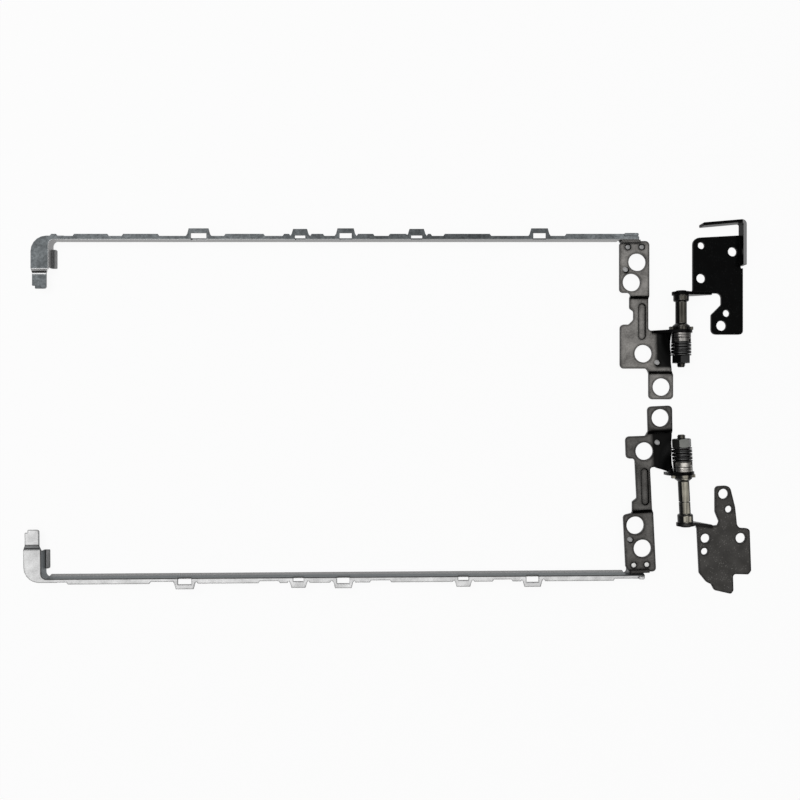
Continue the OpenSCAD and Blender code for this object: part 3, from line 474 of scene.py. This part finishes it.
# %% [markdown]
# The right rail is a dull, bluish zinc. Hot zinc sets in spangles, flat crystals that each catch the light
# a little differently. A picture of them would have to be laid on every face. Voronoi cells are much the
# same thing, each with one tone, and they fill the sheet by themselves. Towards its display bracket the
# rail gets lighter. The left rail is newer, almost white and evenly grained, so it needs no spangles.

# %% Zinc of the two rails
COOL = (0.93, 1.01, 1.05)
SPANGLE_SCALE = 1.6
LIGHTER_FROM = 40.0
LIGHTER_TO = 85.0


def add_spangles(coat, depth):
    """Makes each cell of a crystal pattern a little darker or lighter."""
    cells = add(coat.tree, "ShaderNodeTexVoronoi", None,
                {"Vector": coat.place, "Scale": SPANGLE_SCALE}, "Color")
    tone = add(coat.tree, "ShaderNodeSeparateColor", None, {0: cells})
    coat.brighten(between(coat.tree, tone, 0.0, 1.0, 1.0 - depth, 1.0 + depth))


def lighten_to_bracket(coat, gain):
    """Makes a rail lighter towards its display bracket."""
    near = along(coat.tree, coat.place, "X", LIGHTER_FROM, LIGHTER_TO)
    coat.brighten(between(coat.tree, near, 0.0, 1.0, 1.0, gain))


zinc = Coat("right_zinc_plate", grey(0.044, COOL), grey(0.110, COOL))
add_spangles(zinc, 0.25)
lighten_to_bracket(zinc, 2.6)
# The walls and bends of the right rail take a paler tone: painted light.
shade_bends(zinc, grey(0.26))
mark_corner(zinc, RIGHT_CORNER)
paint_edge_light_and_wear(zinc, grey(0.03), share=0.6, radius=0.3)
finish(zinc, rough=(0.32, 0.45))

white_zinc = Coat("left_zinc_plate", grey(0.52), grey(1.0), grain=3.2)
# The walls and bends of the left rail take a darker tone: painted shade.
shade_bends(white_zinc, grey(0.17, COOL))
mark_corner(white_zinc, LEFT_CORNER)
paint_edge_light_and_wear(white_zinc, grey(0.05), share=1.0, radius=0.6)
finish(white_zinc, rough=(0.42, 0.55), metallic=0.75)
print("rail finishes:", list(FINISHES))

# %% [markdown]
# The display brackets are blackened steel, brushed down to a warm grey on the flats. Three kinds of place
# are made nearly black, and this is painted shade, with some black coat left in the rolled rims: bends and
# the rolled rim around each hole, which the two masks above find, and the hollow beside the springs, where
# the sheet curls up into the ear. The hollow has no sharp border that a mask of normals could find, so it is
# given by its place in the plan of its own hinge.

# %% Painted shade in the hollow beside the springs
HOLLOW_SLOPE = 1.3
HOLLOW_END = 0.5
HOLLOW_SOFT = 0.5
HOLLOW_SHARE = 0.97
# at: the ear's place; turn: the shaft's slant; flip: which way along it; from and end: the hollow's borders
RIGHT_HINGE = {"at": (100.5, 26.7, 0.0), "turn": 0.0, "flip": (1, 1, 1), "from": -8.6, "end": -13.0}
LEFT_HINGE = {"at": (101.2, -23.1, 0.0), "turn": math.radians(2.8), "flip": (1, -1, 1), "from": -10.2,
              "end": -16.0}


def in_hollow(tree, place, hinge):
    """1 in the formed hollow beside the springs, in the plan of one hinge."""
    plan = add(tree, "ShaderNodeMapping", {"vector_type": "TEXTURE"},
               {"Vector": place, "Location": hinge["at"], "Rotation": (0, 0, hinge["turn"]),
                "Scale": hinge["flip"]})
    beside = along(tree, plan, "X", hinge["from"], hinge["from"] + HOLLOW_SLOPE)
    reach = band(tree, axis_of(tree, plan, "Y"), hinge["end"], HOLLOW_END, HOLLOW_SOFT)
    return maths(tree, "MULTIPLY", beside, reach)


def paint_hollow_shade(coat, hinge):
    """Paints shade in the hollow, in the tone of the bends."""
    hollow = in_hollow(coat.tree, coat.place, hinge)
    coat.lay(maths(coat.tree, "MULTIPLY", hollow, HOLLOW_SHARE), coat.painted_bend_tone)


print("hollow", HOLLOW_END - RIGHT_HINGE["end"], "mm long on the right")

# %% [markdown]
# Two small pips are pushed up out of each bracket. They are domes, so a real one shows a pale cap and a dark
# foot. The shape is in the imported mesh, but it is low, and its shading alone is too weak to read from
# above. So light and shade are painted on: a ring of painted shade in the tone of the bends, and a cap of
# painted highlight that is moved a little towards the lamp. The cap is dull, because a mirror would show the
# dark sides of the tent there.

# %% Pips of the brackets
PIP_FOOT = (1.15, 0.95)
PIP_CAP = (0.85, 0.65)
CAP_SHIFT = (0.30, -0.25)
RIGHT_PIPS = [(81.9, 47.5), (93.2, 15.4)]
LEFT_PIPS = [(83.5, -45.9), (93.3, -12.4)]


def from_pip(tree, place, at):
    """Distance in plan from the middle of a pip, and the place relative to it."""
    flat = add(tree, "ShaderNodeVectorMath", {"operation": "MULTIPLY"}, {0: place, 1: (1, 1, 0)})
    offset = add(tree, "ShaderNodeVectorMath", {"operation": "SUBTRACT"}, {0: flat, 1: (*at, 0)})
    return add(tree, "ShaderNodeVectorMath", {"operation": "LENGTH"}, {0: offset}, "Value"), offset


def paint_pip_shade_and_highlight(coat, at, tone):
    """Paints the shade at the foot and the highlight on the cap of one pip."""
    reach, offset = from_pip(coat.tree, coat.place, at)
    coat.lay(between(coat.tree, reach, *PIP_FOOT), coat.painted_bend_tone)
    for axis, shift in zip("XY", CAP_SHIFT):
        lean = maths(coat.tree, "MULTIPLY", axis_of(coat.tree, offset, axis), shift)
        reach = maths(coat.tree, "ADD", reach, lean)
    cap = between(coat.tree, reach, *PIP_CAP)
    coat.lay(cap, tone)
    coat.dull = cap if coat.dull is None else maths(coat.tree, "MAXIMUM", coat.dull, cap)


print("pips:", len(RIGHT_PIPS + LEFT_PIPS))

# %% [markdown]
# The two brackets could be two finishes written out in full. They are blackened and brushed alike, and
# differ only in their tones and in the places of hollow and pips, so one function makes both. The mask of
# the bends is narrow here: a slope of two degrees already begins to take the painted shade.

# %% Satin steel of the display brackets
WARM = (1.04, 1.0, 0.95)


def satin_steel(name, dark, light, black, edge, hinge, pips, cap):
    """Blackened steel with brushed flats, painted shade on bends, rims and hollow, and painted highlights on
    the pips.
    """
    coat = Coat(name, dark, light, grain=2.2)
    shade_bends(coat, black, low=0.972, high=0.9993)
    paint_hollow_shade(coat, hinge)
    paint_edge_light_and_wear(coat, edge, share=1.0, radius=1.3)
    for at in pips:
        paint_pip_shade_and_highlight(coat, at, cap)
    finish(coat, rough=(0.34, 0.46), relief=0.5)


# The black and edge tones are painted shade, and the cap a painted highlight.
satin_steel("right_satin_steel", grey(0.08, WARM), grey(0.32, WARM), black=grey(0.006), edge=grey(0.006),
            hinge=RIGHT_HINGE, pips=RIGHT_PIPS, cap=grey(0.42))
satin_steel("left_satin_steel", grey(0.035, WARM), grey(0.16, WARM), black=grey(0.005), edge=grey(0.004),
            hinge=LEFT_HINGE, pips=LEFT_PIPS, cap=grey(0.38))
print("finishes so far:", len(FINISHES))

# %% [markdown]
# The base brackets are coated by dipping. The right one is deep black and smooth, and the sheared top of
# its upright wall is a grey line: what looks up, high above the table and at the outer side. The left one
# is a thin brown grey coat. Both carry small paler specks, the left one more of them. They could be
# scattered evenly, but real ones come in patches, so a slow noise chooses where the cells of a fine pattern
# show.

# %% Black coats of the base brackets
SPECK_SCALE = 1.6
SPECK_RIM = (0.30, 0.12)
PATCH_SCALE = 0.5
PATCH_RIM = (0.44, 0.54)
WALL_PLACE = (121.9, 122.0)
WALL_LEVEL = (3.0, 4.0)


def add_specks(coat, tone, share):
    """Scatters small specks in patches."""
    cells = add(coat.tree, "ShaderNodeTexVoronoi", None, {"Vector": coat.place, "Scale": SPECK_SCALE})
    speck = between(coat.tree, cells, *SPECK_RIM)
    patch = between(coat.tree, noise(coat.tree, coat.place, PATCH_SCALE), *PATCH_RIM)
    coat.lay(maths(coat.tree, "MULTIPLY", speck, maths(coat.tree, "MULTIPLY", patch, share)), tone)


def bare_wall_top(coat, tone):
    """Leaves the sheared top of the upright wall grey."""
    at_wall = along(coat.tree, coat.place, "X", *WALL_PLACE)
    upward = maths(coat.tree, "MULTIPLY", at_wall, coat.upward)
    coat.lay(maths(coat.tree, "MULTIPLY", upward, along(coat.tree, coat.place, "Z", *WALL_LEVEL)), tone)


# On both coats the bends and sides take painted shade. The grey line on the right one's edges is a painted
# highlight along with wear, and the dark line on the left one's edges painted shade.
black = Coat("right_black_coat", grey(0.0012), grey(0.003, COOL))
add_specks(black, grey(0.03), share=0.35)
shade_bends(black, grey(0.002))
bare_wall_top(black, grey(0.26))
paint_edge_light_and_wear(black, grey(0.04), share=0.7)
finish(black, rough=(0.22, 0.32), metallic=0.0, specular=0.03)

brown_grey = Coat("left_black_coat", grey(0.042, WARM), grey(0.082, WARM), grain=1.8)
add_specks(brown_grey, grey(0.20, WARM), share=0.8)
shade_bends(brown_grey, grey(0.008))
paint_edge_light_and_wear(brown_grey, grey(0.006), share=1.0, radius=1.0)
finish(brown_grey, rough=(0.36, 0.5), relief=0.6)
print("finishes so far:", len(FINISHES))

# %% [markdown]
# The small parts of the two hinges are the same, and they share their finishes. Those of the left hinge are
# lighter; on the washers and the nut this is painted light. Two sets of materials could do that. One set,
# made lighter on the left side of the middle line, is shorter, and it keeps the pairs alike in all else. The
# shafts are dark, with long streaks, as drawn bar has: a noise that is squeezed across the shaft and
# stretched along it. Their sides take painted shade, so the flat on top stays lighter, and their edges a
# painted highlight. The rivets are pale and dull, with painted shade on their sides.

# %% Steel of the shafts and the rivets
GOLD = (1.06, 1.0, 0.86)
STREAK_SHAPE = (1.6, 0.05, 1.6)
STREAK_RANGE = (0.4, 0.6)
LIGHT_STREAKS = 0.6
MIDDLE_LINE = (1.0, -1.0)


def add_streaks(coat, depth):
    """Draws long dark and light lines along the shaft."""
    stretched = add(coat.tree, "ShaderNodeVectorMath", {"operation": "MULTIPLY"},
                    {0: coat.place, 1: STREAK_SHAPE})
    lines = noise(coat.tree, stretched, 1.0)
    coat.brighten(between(coat.tree, lines, *STREAK_RANGE, 1.0 - depth, 1.0 + LIGHT_STREAKS * depth))


def lighten_left(coat, gain):
    """Makes what belongs to the left hinge lighter."""
    lighter = add(coat.tree, "ShaderNodeVectorMath", {"operation": "MULTIPLY"}, {0: coat.colour, 1: gain})
    coat.lay(along(coat.tree, coat.place, "Y", *MIDDLE_LINE), lighter)


shaft_steel = Coat("dark_steel", grey(0.06, GOLD), grey(0.13, GOLD))
add_streaks(shaft_steel, 0.6)
shade_bends(shaft_steel, grey(0.010), low=0.90, high=0.995)
lighten_left(shaft_steel, (2.9, 2.9, 2.8))
paint_edge_light_and_wear(shaft_steel, grey(0.22), share=0.5, radius=0.1)
finish(shaft_steel)

rivets = Coat("rivet_steel", grey(0.29), grey(0.34), grain=2.2)
shade_bends(rivets, grey(0.03), low=0.7, high=0.95)
lighten_left(rivets, (2.9, 2.9, 2.85))
paint_edge_light_and_wear(rivets, grey(0.01), share=0.3)
finish(rivets, metallic=0.1)
print("finishes so far:", len(FINISHES))

# %% [markdown]
# The washers are ground bright, with painted shade on their flanks. The disc springs are black, with painted
# shade on their slopes and a painted highlight on each rim. The nut is black, with painted shade on its
# sides and lighter corners. Each could have a pattern of its own, but the parts are only a few millimetres
# wide, and the layers above with other numbers are enough.

# %% Washers, springs and nut
washers = Coat("bright_steel", grey(0.10, WARM), grey(0.38, WARM), grain=1.4)
shade_bends(washers, grey(0.03), low=0.60, high=0.98)
# On the left washers the lighter tone is a painted highlight.
lighten_left(washers, (2.2, 2.2, 2.15))
paint_edge_light_and_wear(washers, grey(0.015), share=0.85, radius=0.12)
finish(washers, rough=(0.2, 0.32))

springs = Coat("black_spring", grey(0.05), grey(0.10))
shade_bends(springs, grey(0.008), low=0.6, high=0.98)
paint_edge_light_and_wear(springs, grey(0.14), share=0.4, radius=0.08)
finish(springs, rough=(0.24, 0.36))

nut = Coat("black_nut", grey(0.05), grey(0.08))
shade_bends(nut, grey(0.006), low=0.75, high=0.985)
# On the left nut the lighter tone is painted light.
lighten_left(nut, (3.0, 3.1, 2.9))
paint_edge_light_and_wear(nut, grey(0.10), share=0.5)
finish(nut)
print("finishes:", len(FINISHES))

# %% [markdown]
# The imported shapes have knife-sharp edges. Pressed sheet and turned steel have edges with a small radius,
# and it is this radius that catches the light. The shader could fake it, but then the outline would stay
# sharp. So each piece is copied and its outer edges are cut round. First the loose triangles are merged and
# flat faces are joined up again, because a bevel goes wrong on triangles. Inner edges stay as they are.

# %% Rounding tools
SAME_POINT = 0.0005 * MM
FLAT_ANGLE = math.radians(0.8)
CORNER_ANGLE = math.radians(50)
BEVEL_STEPS = 3


def cleaned(node):
    """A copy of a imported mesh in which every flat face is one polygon."""
    work = bmesh.new()
    work.from_mesh(frame["nodes"][node].data)
    bmesh.ops.remove_doubles(work, verts=work.verts, dist=SAME_POINT)
    bmesh.ops.dissolve_limit(work, angle_limit=FLAT_ANGLE, verts=work.verts, edges=work.edges)
    bmesh.ops.recalc_face_normals(work, faces=work.faces)
    return work


def outer_corner(edge):
    """Whether two faces meet there at a corner that points outwards."""
    return len(edge.link_faces) == 2 and edge.calc_face_angle_signed(0) > CORNER_ANGLE


def round_edges(work, radius):
    """Cuts a small round on every outer corner."""
    corners = [edge for edge in work.edges if outer_corner(edge)]
    bmesh.ops.bevel(work, geom=corners, offset=radius * MM, segments=BEVEL_STEPS, profile=0.5,
                    affect="EDGES", clamp_overlap=True, miter_outer="ARC")


print("corners of more than", round(math.degrees(CORNER_ANGLE)), "degrees are rounded")

# %% [markdown]
# Rounded edges need smooth shading, and smooth shading bends the tone of the large faces beside them.
# Subdividing every face would cure that with many triangles. The Weighted Normal modifier cures it with
# none: each point takes its normal mostly from the largest face that it touches. Edges that are still
# sharp, such as inner corners, are marked first, and the modifier keeps them.

# %% Smooth shading with flat faces
SMOOTH_ANGLE = math.radians(28)
FACE_WEIGHT = 80


def plain_mesh(carrier, name):
    """The mesh that an object's modifiers make, without the object."""
    mesh = bpy.data.meshes.new_from_object(carrier.evaluated_get(bpy.context.evaluated_depsgraph_get()))
    bpy.data.objects.remove(carrier)
    mesh.name = name
    return mesh


def settled(work, name):
    """Smooth shading with sharp edges kept, and large faces kept flat."""
    for face in work.faces:
        face.smooth = True
    for edge in work.edges:
        edge.smooth = len(edge.link_faces) == 2 and edge.calc_face_angle(0.0) < SMOOTH_ANGLE
    rough = bpy.data.meshes.new("rough")
    work.to_mesh(rough)
    work.free()
    carrier = bpy.data.objects.new("carrier", rough)
    scene.collection.objects.link(carrier)
    weigh = carrier.modifiers.new("weigh", "WEIGHTED_NORMAL")
    weigh.weight = FACE_WEIGHT
    weigh.keep_sharp = True
    mesh = plain_mesh(carrier, name)
    bpy.data.meshes.remove(rough)
    return mesh


print("sharp from", round(math.degrees(SMOOTH_ANGLE)), "degrees")

# %% [markdown]
# The shaft of a hinge turns with its base bracket, and most of what sits on it turns along, while rail and
# display bracket lie still. A parent could be set by hand for every piece. Here each one rides on the body
# of the node that it stands for, so it follows the joint at any angle, and its finish goes by the name in
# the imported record.

# %% Putting a piece in the scene
SLOTS = {part["node"]: part["material_slot"] for part in frame["record"]["subparts"]}


def body_of(node):
    """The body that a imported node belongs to."""
    return frame["nodes"][node]["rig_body"]


def show(mesh, name, body, slot, *nodes):
    """Puts a finished mesh in the scene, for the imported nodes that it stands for."""
    mesh.materials.clear()
    mesh.materials.append(FINISHES[slot])
    piece = bpy.data.objects.new(name, mesh)
    scene.collection.objects.link(piece)
    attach(piece, body)
    if nodes:
        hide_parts(*nodes)
    return piece


print("slots in use:", sorted(set(SLOTS.values())))

# %% [markdown]
# Rails, brackets, rivets, shafts, washers and nuts differ in size but not in how their edges are made. One
# radius for all would be too much for the thin rail or too little for the brackets, so each kind has its
# own: the rail the smallest, the brackets and the nut the largest. The disc springs are left out here,
# because they are made anew below.

# %% Sheet pieces and turned pieces
RADII = {"rail": 0.07, "display_bracket": 0.12, "base_bracket": 0.12, "rivets": 0.1, "shaft": 0.1,
         "stop_plate": 0.08, "friction_washer": 0.08, "key_washer": 0.08, "pressure_washer": 0.1,
         "nut": 0.12}


def pressed(node, radius):
    """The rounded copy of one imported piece."""
    work = cleaned(node)
    round_edges(work, radius)
    return settled(work, "pressed_" + node)


shown = {}
for node in sorted(frame["nodes"]):
    kind = node.split("_", 1)[1]
    if kind in RADII:
        shown[node] = show(pressed(node, RADII[kind]), "pressed_" + node, body_of(node), SLOTS[node], node)
print("rounded pieces:", len(shown))

# %% [markdown]
# Springs and threads sit on the shafts, and the left shaft lies 2.8 degrees askew. Its place could be typed
# in, but then it would be wrong as soon as the source changed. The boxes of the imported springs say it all:
# their middles lie on the shaft's axis, and every second one lies the same way round.

# %% Place and direction of each shaft
SPRING_COUNT = 8


def spring(side, number):
    """The node name of one disc spring."""
    return f"{side}_disc_spring_{number}"


def centre(node):
    """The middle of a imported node's box."""
    low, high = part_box(node)
    return (Vector(low) + Vector(high)) / 2


def spring_pitch(side):
    """The step from one spring to the next, from two that lie the same way round."""
    last = SPRING_COUNT - 1
    return (centre(spring(side, last)) - centre(spring(side, 1))) / (last - 1)


def shaft_frame(side):
    """A matrix with its origin in the first spring and +Z towards the nut."""
    middle = (centre(spring(side, 1)) + centre(spring(side, SPRING_COUNT))) / 2
    start = middle - (SPRING_COUNT - 1) / 2 * spring_pitch(side)
    return Matrix.Translation(start) @ spring_pitch(side).to_track_quat("Z", "Y").to_matrix().to_4x4()


for side in ("right", "left"):
    print(side, "shaft starts at", [round(v / MM, 2) for v in shaft_frame(side).translation])

# %% [markdown]
# Springs and threads repeat one form along the shaft, and Geometry Nodes are made for that: the sizes are
# inputs with names, and a change to one of them rebuilds the whole stack. A tree makes instances, which an
# export would drop, so each tree ends by making them real and by setting their material. The result is
# taken off the modifier as a plain mesh and moved onto its shaft.

# %% Helpers for Geometry Nodes
def new_tree(name, sizes):
    """A tree with one float input for each named size and a material input."""
    tree = bpy.data.node_groups.new(name, "GeometryNodeTree")
    for size in sizes:
        tree.interface.new_socket(size, in_out="INPUT", socket_type="NodeSocketFloat")
    tree.interface.new_socket("Finish", in_out="INPUT", socket_type="NodeSocketMaterial")
    tree.interface.new_socket("Geometry", in_out="OUTPUT", socket_type="NodeSocketGeometry")
    return tree, tree.nodes.new("NodeGroupInput").outputs


def end_with(tree, geometry, material):
    """Makes instances real, sets their material and connects the tree's output."""
    real = add(tree, "GeometryNodeRealizeInstances", None, {"Geometry": geometry})
    dressed = add(tree, "GeometryNodeSetMaterial", None, {"Geometry": real, "Material": material})
    tree.links.new(dressed, tree.nodes.new("NodeGroupOutput").inputs["Geometry"])


def vector(tree, x=0.0, y=0.0, z=0.0):
    """A vector from three numbers or outputs."""
    return add(tree, "ShaderNodeCombineXYZ", None, {0: x, 1: y, 2: z})


def grown(tree, name, values, material, matrix):
    """Runs a tree with the given sizes and returns a plain mesh in its place."""
    carrier = bpy.data.objects.new(name, bpy.data.meshes.new(name))
    scene.collection.objects.link(carrier)
    modifier = carrier.modifiers.new(name, "NODES")
    modifier.node_group = tree
    for item in tree.interface.items_tree:
        if item.in_out == "INPUT":
            modifier[item.identifier] = material if item.name == "Finish" else values[item.name]
    mesh = plain_mesh(carrier, name)
    mesh.transform(matrix)
    return mesh


print("tree helpers ready")

# %% [markdown]
# Eight disc springs stand in facing pairs on each shaft, like thin saucers rim to rim. One ring is enough:
# a strip with rounded corners, tilted by the cone and swept around a circle. The Screw modifier could turn
# the strip too, but in a tree the tilt follows from the pitch, so the rims always meet. A line of points
# then carries the rings, and every second one is turned over.

# %% One tree for a stack of disc springs
RIM_SHARE = 0.3
RIM_POINTS = 3
STRIP_SHARE = 0.985
RING_POINTS = 72


def spring_strip(tree, given, width):
    """The section of one disc: a tilted strip with rounded corners."""
    rise = maths(tree, "SUBTRACT", given["Pitch"], given["Thickness"])
    tilt = maths(tree, "ARCTANGENT", maths(tree, "DIVIDE", rise, width))
    strip = add(tree, "GeometryNodeCurvePrimitiveQuadrilateral", None,
                {"Width": maths(tree, "MULTIPLY", width, STRIP_SHARE), "Height": given["Thickness"]})
    rim = maths(tree, "MULTIPLY", given["Thickness"], RIM_SHARE)
    strip = add(tree, "GeometryNodeFilletCurve", {"mode": "POLY"},
                {"Curve": strip, "Count": RIM_POINTS, "Radius": rim})
    return add(tree, "GeometryNodeTransform", None, {"Geometry": strip, "Rotation": vector(tree, z=tilt)})


def spring_tree():
    """Rings on a line of points, every second one turned over."""
    tree, given = new_tree("disc_springs", ["Count", "Pitch", "Inner Radius", "Outer Radius", "Thickness"])
    width = maths(tree, "SUBTRACT", given["Outer Radius"], given["Inner Radius"])
    middle = maths(tree, "MULTIPLY", maths(tree, "ADD", given["Outer Radius"], given["Inner Radius"]), 0.5)
    circle = add(tree, "GeometryNodeCurvePrimitiveCircle", None,
                 {"Resolution": RING_POINTS, "Radius": middle})
    ring = add(tree, "GeometryNodeCurveToMesh", None,
               {"Curve": circle, "Profile Curve": spring_strip(tree, given, width)})
    line = add(tree, "GeometryNodeMeshLine", None,
               {"Count": given["Count"], "Offset": vector(tree, z=given["Pitch"])})
    every_second = maths(tree, "MODULO", add(tree, "GeometryNodeInputIndex"), 2.0)
    turned = vector(tree, x=maths(tree, "MULTIPLY", every_second, math.pi))
    stack = add(tree, "GeometryNodeInstanceOnPoints", None,
                {"Points": line, "Instance": ring, "Rotation": turned})
    end_with(tree, stack, given["Finish"])
    return tree


disc_springs = spring_tree()
print("nodes in the spring tree:", len(disc_springs.nodes))

# %% [markdown]
# The two stacks could be copies of each other, but the left one is less tightened, so its pitch is wider,
# and its tilt with it. The tree runs once for each hinge instead. The outer radius is half the height of a
# packed spring's box. Each stack stands for the eight packed springs, which turn with the shaft.

# %% The two spring stacks
SPRING_THICKNESS = 0.45 * MM
SPRING_BORE = 1.79 * MM

for side in ("right", "left"):
    nodes = [spring(side, number) for number in range(1, SPRING_COUNT + 1)]
    low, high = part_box(nodes[0])
    values = {"Count": float(SPRING_COUNT), "Pitch": spring_pitch(side).length, "Inner Radius": SPRING_BORE,
              "Outer Radius": (high[2] - low[2]) / 2, "Thickness": SPRING_THICKNESS}
    mesh = grown(disc_springs, side + "_springs", values, FINISHES["black_spring"], shaft_frame(side))
    for face in mesh.polygons:
        face.use_smooth = True
    show(mesh, side + "_springs", body_of(nodes[0]), "black_spring", *nodes)
    print(side, "springs:", len(nodes), "pitch", round(values["Pitch"] / MM, 3), "mm")

# %% [markdown]
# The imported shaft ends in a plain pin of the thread's outer diameter. A thread could be a bump on the pin,
# but its teeth would be missing from the outline. Here the pin is drawn in to the core of the thread, and a
# real ridge winds around it: a spiral curve with a small triangle swept along it.

# %% One tree for a thread
THREAD_PITCH = 0.5 * MM
THREAD_RADIUS = 1.45 * MM
THREAD_DEPTH = 0.27 * MM
RIDGE_SHARE = 0.67
TURN_POINTS = 48
TRIANGLE = 3


def thread_tree():
    """A ridge that winds around the pin."""
    tree, given = new_tree("thread", ["Length", "Pitch", "Outer Radius", "Depth"])
    ridge_radius = maths(tree, "MULTIPLY", given["Depth"], RIDGE_SHARE)
    middle = maths(tree, "SUBTRACT", given["Outer Radius"], ridge_radius)
    turns = maths(tree, "DIVIDE", given["Length"], given["Pitch"])
    spiral = add(tree, "GeometryNodeCurveSpiral", None,
                 {"Resolution": TURN_POINTS, "Rotations": turns, "Start Radius": middle,
                  "End Radius": middle, "Height": given["Length"]})
    ridge = add(tree, "GeometryNodeCurvePrimitiveCircle", None,
                {"Resolution": TRIANGLE, "Radius": ridge_radius})
    wound = add(tree, "GeometryNodeCurveToMesh", None,
                {"Curve": spiral, "Profile Curve": ridge, "Fill Caps": True})
    end_with(tree, wound, given["Finish"])
    return tree


threads = thread_tree()
print("nodes in the thread tree:", len(threads.nodes))

# %% [markdown]
# The thread shows only beyond the nut, so it begins just inside it, and it stops a little before the tip,
# which has a plain lead as on a real screw. The nut's place could be typed in for each hinge. Instead it is
# measured on the nut's mesh, along the shaft, so the thread fits either one.

# %% The two threads
TIP_LEAD = 0.3 * MM
INSIDE_NUT = 0.5 * THREAD_PITCH


def along_shaft(piece, matrix):
    """Distances of a piece's points along the shaft."""
    back = matrix.inverted()
    return [(back @ vertex.co).z for vertex in piece.data.vertices]


def shrink_pin(mesh, matrix, start):
    """Draws the shaft in to the core of the thread beyond a distance along it."""
    back = matrix.inverted()
    core = (THREAD_RADIUS - THREAD_DEPTH) / THREAD_RADIUS
    for vertex in mesh.vertices:
        local = back @ vertex.co
        if local.z > start:
            vertex.co = matrix @ Vector((local.x * core, local.y * core, local.z))


for side in ("right", "left"):
    matrix = shaft_frame(side)
    shaft = shown[side + "_shaft"]
    nut_span = along_shaft(shown[side + "_nut"], matrix)
    tip = max(along_shaft(shaft, matrix))
    shrink_pin(shaft.data, matrix, min(nut_span))
    start = max(nut_span) - INSIDE_NUT
    values = {"Length": tip - start - TIP_LEAD, "Pitch": THREAD_PITCH, "Outer Radius": THREAD_RADIUS,
              "Depth": THREAD_DEPTH}
    mesh = grown(threads, side + "_thread", values, FINISHES["dark_steel"],
                 matrix @ Matrix.Translation((0, 0, start)))
    show(mesh, side + "_thread", body_of(side + "_shaft"), "dark_steel")
    print(side, "thread:", round(values["Length"] / MM, 2), "mm beyond the nut")
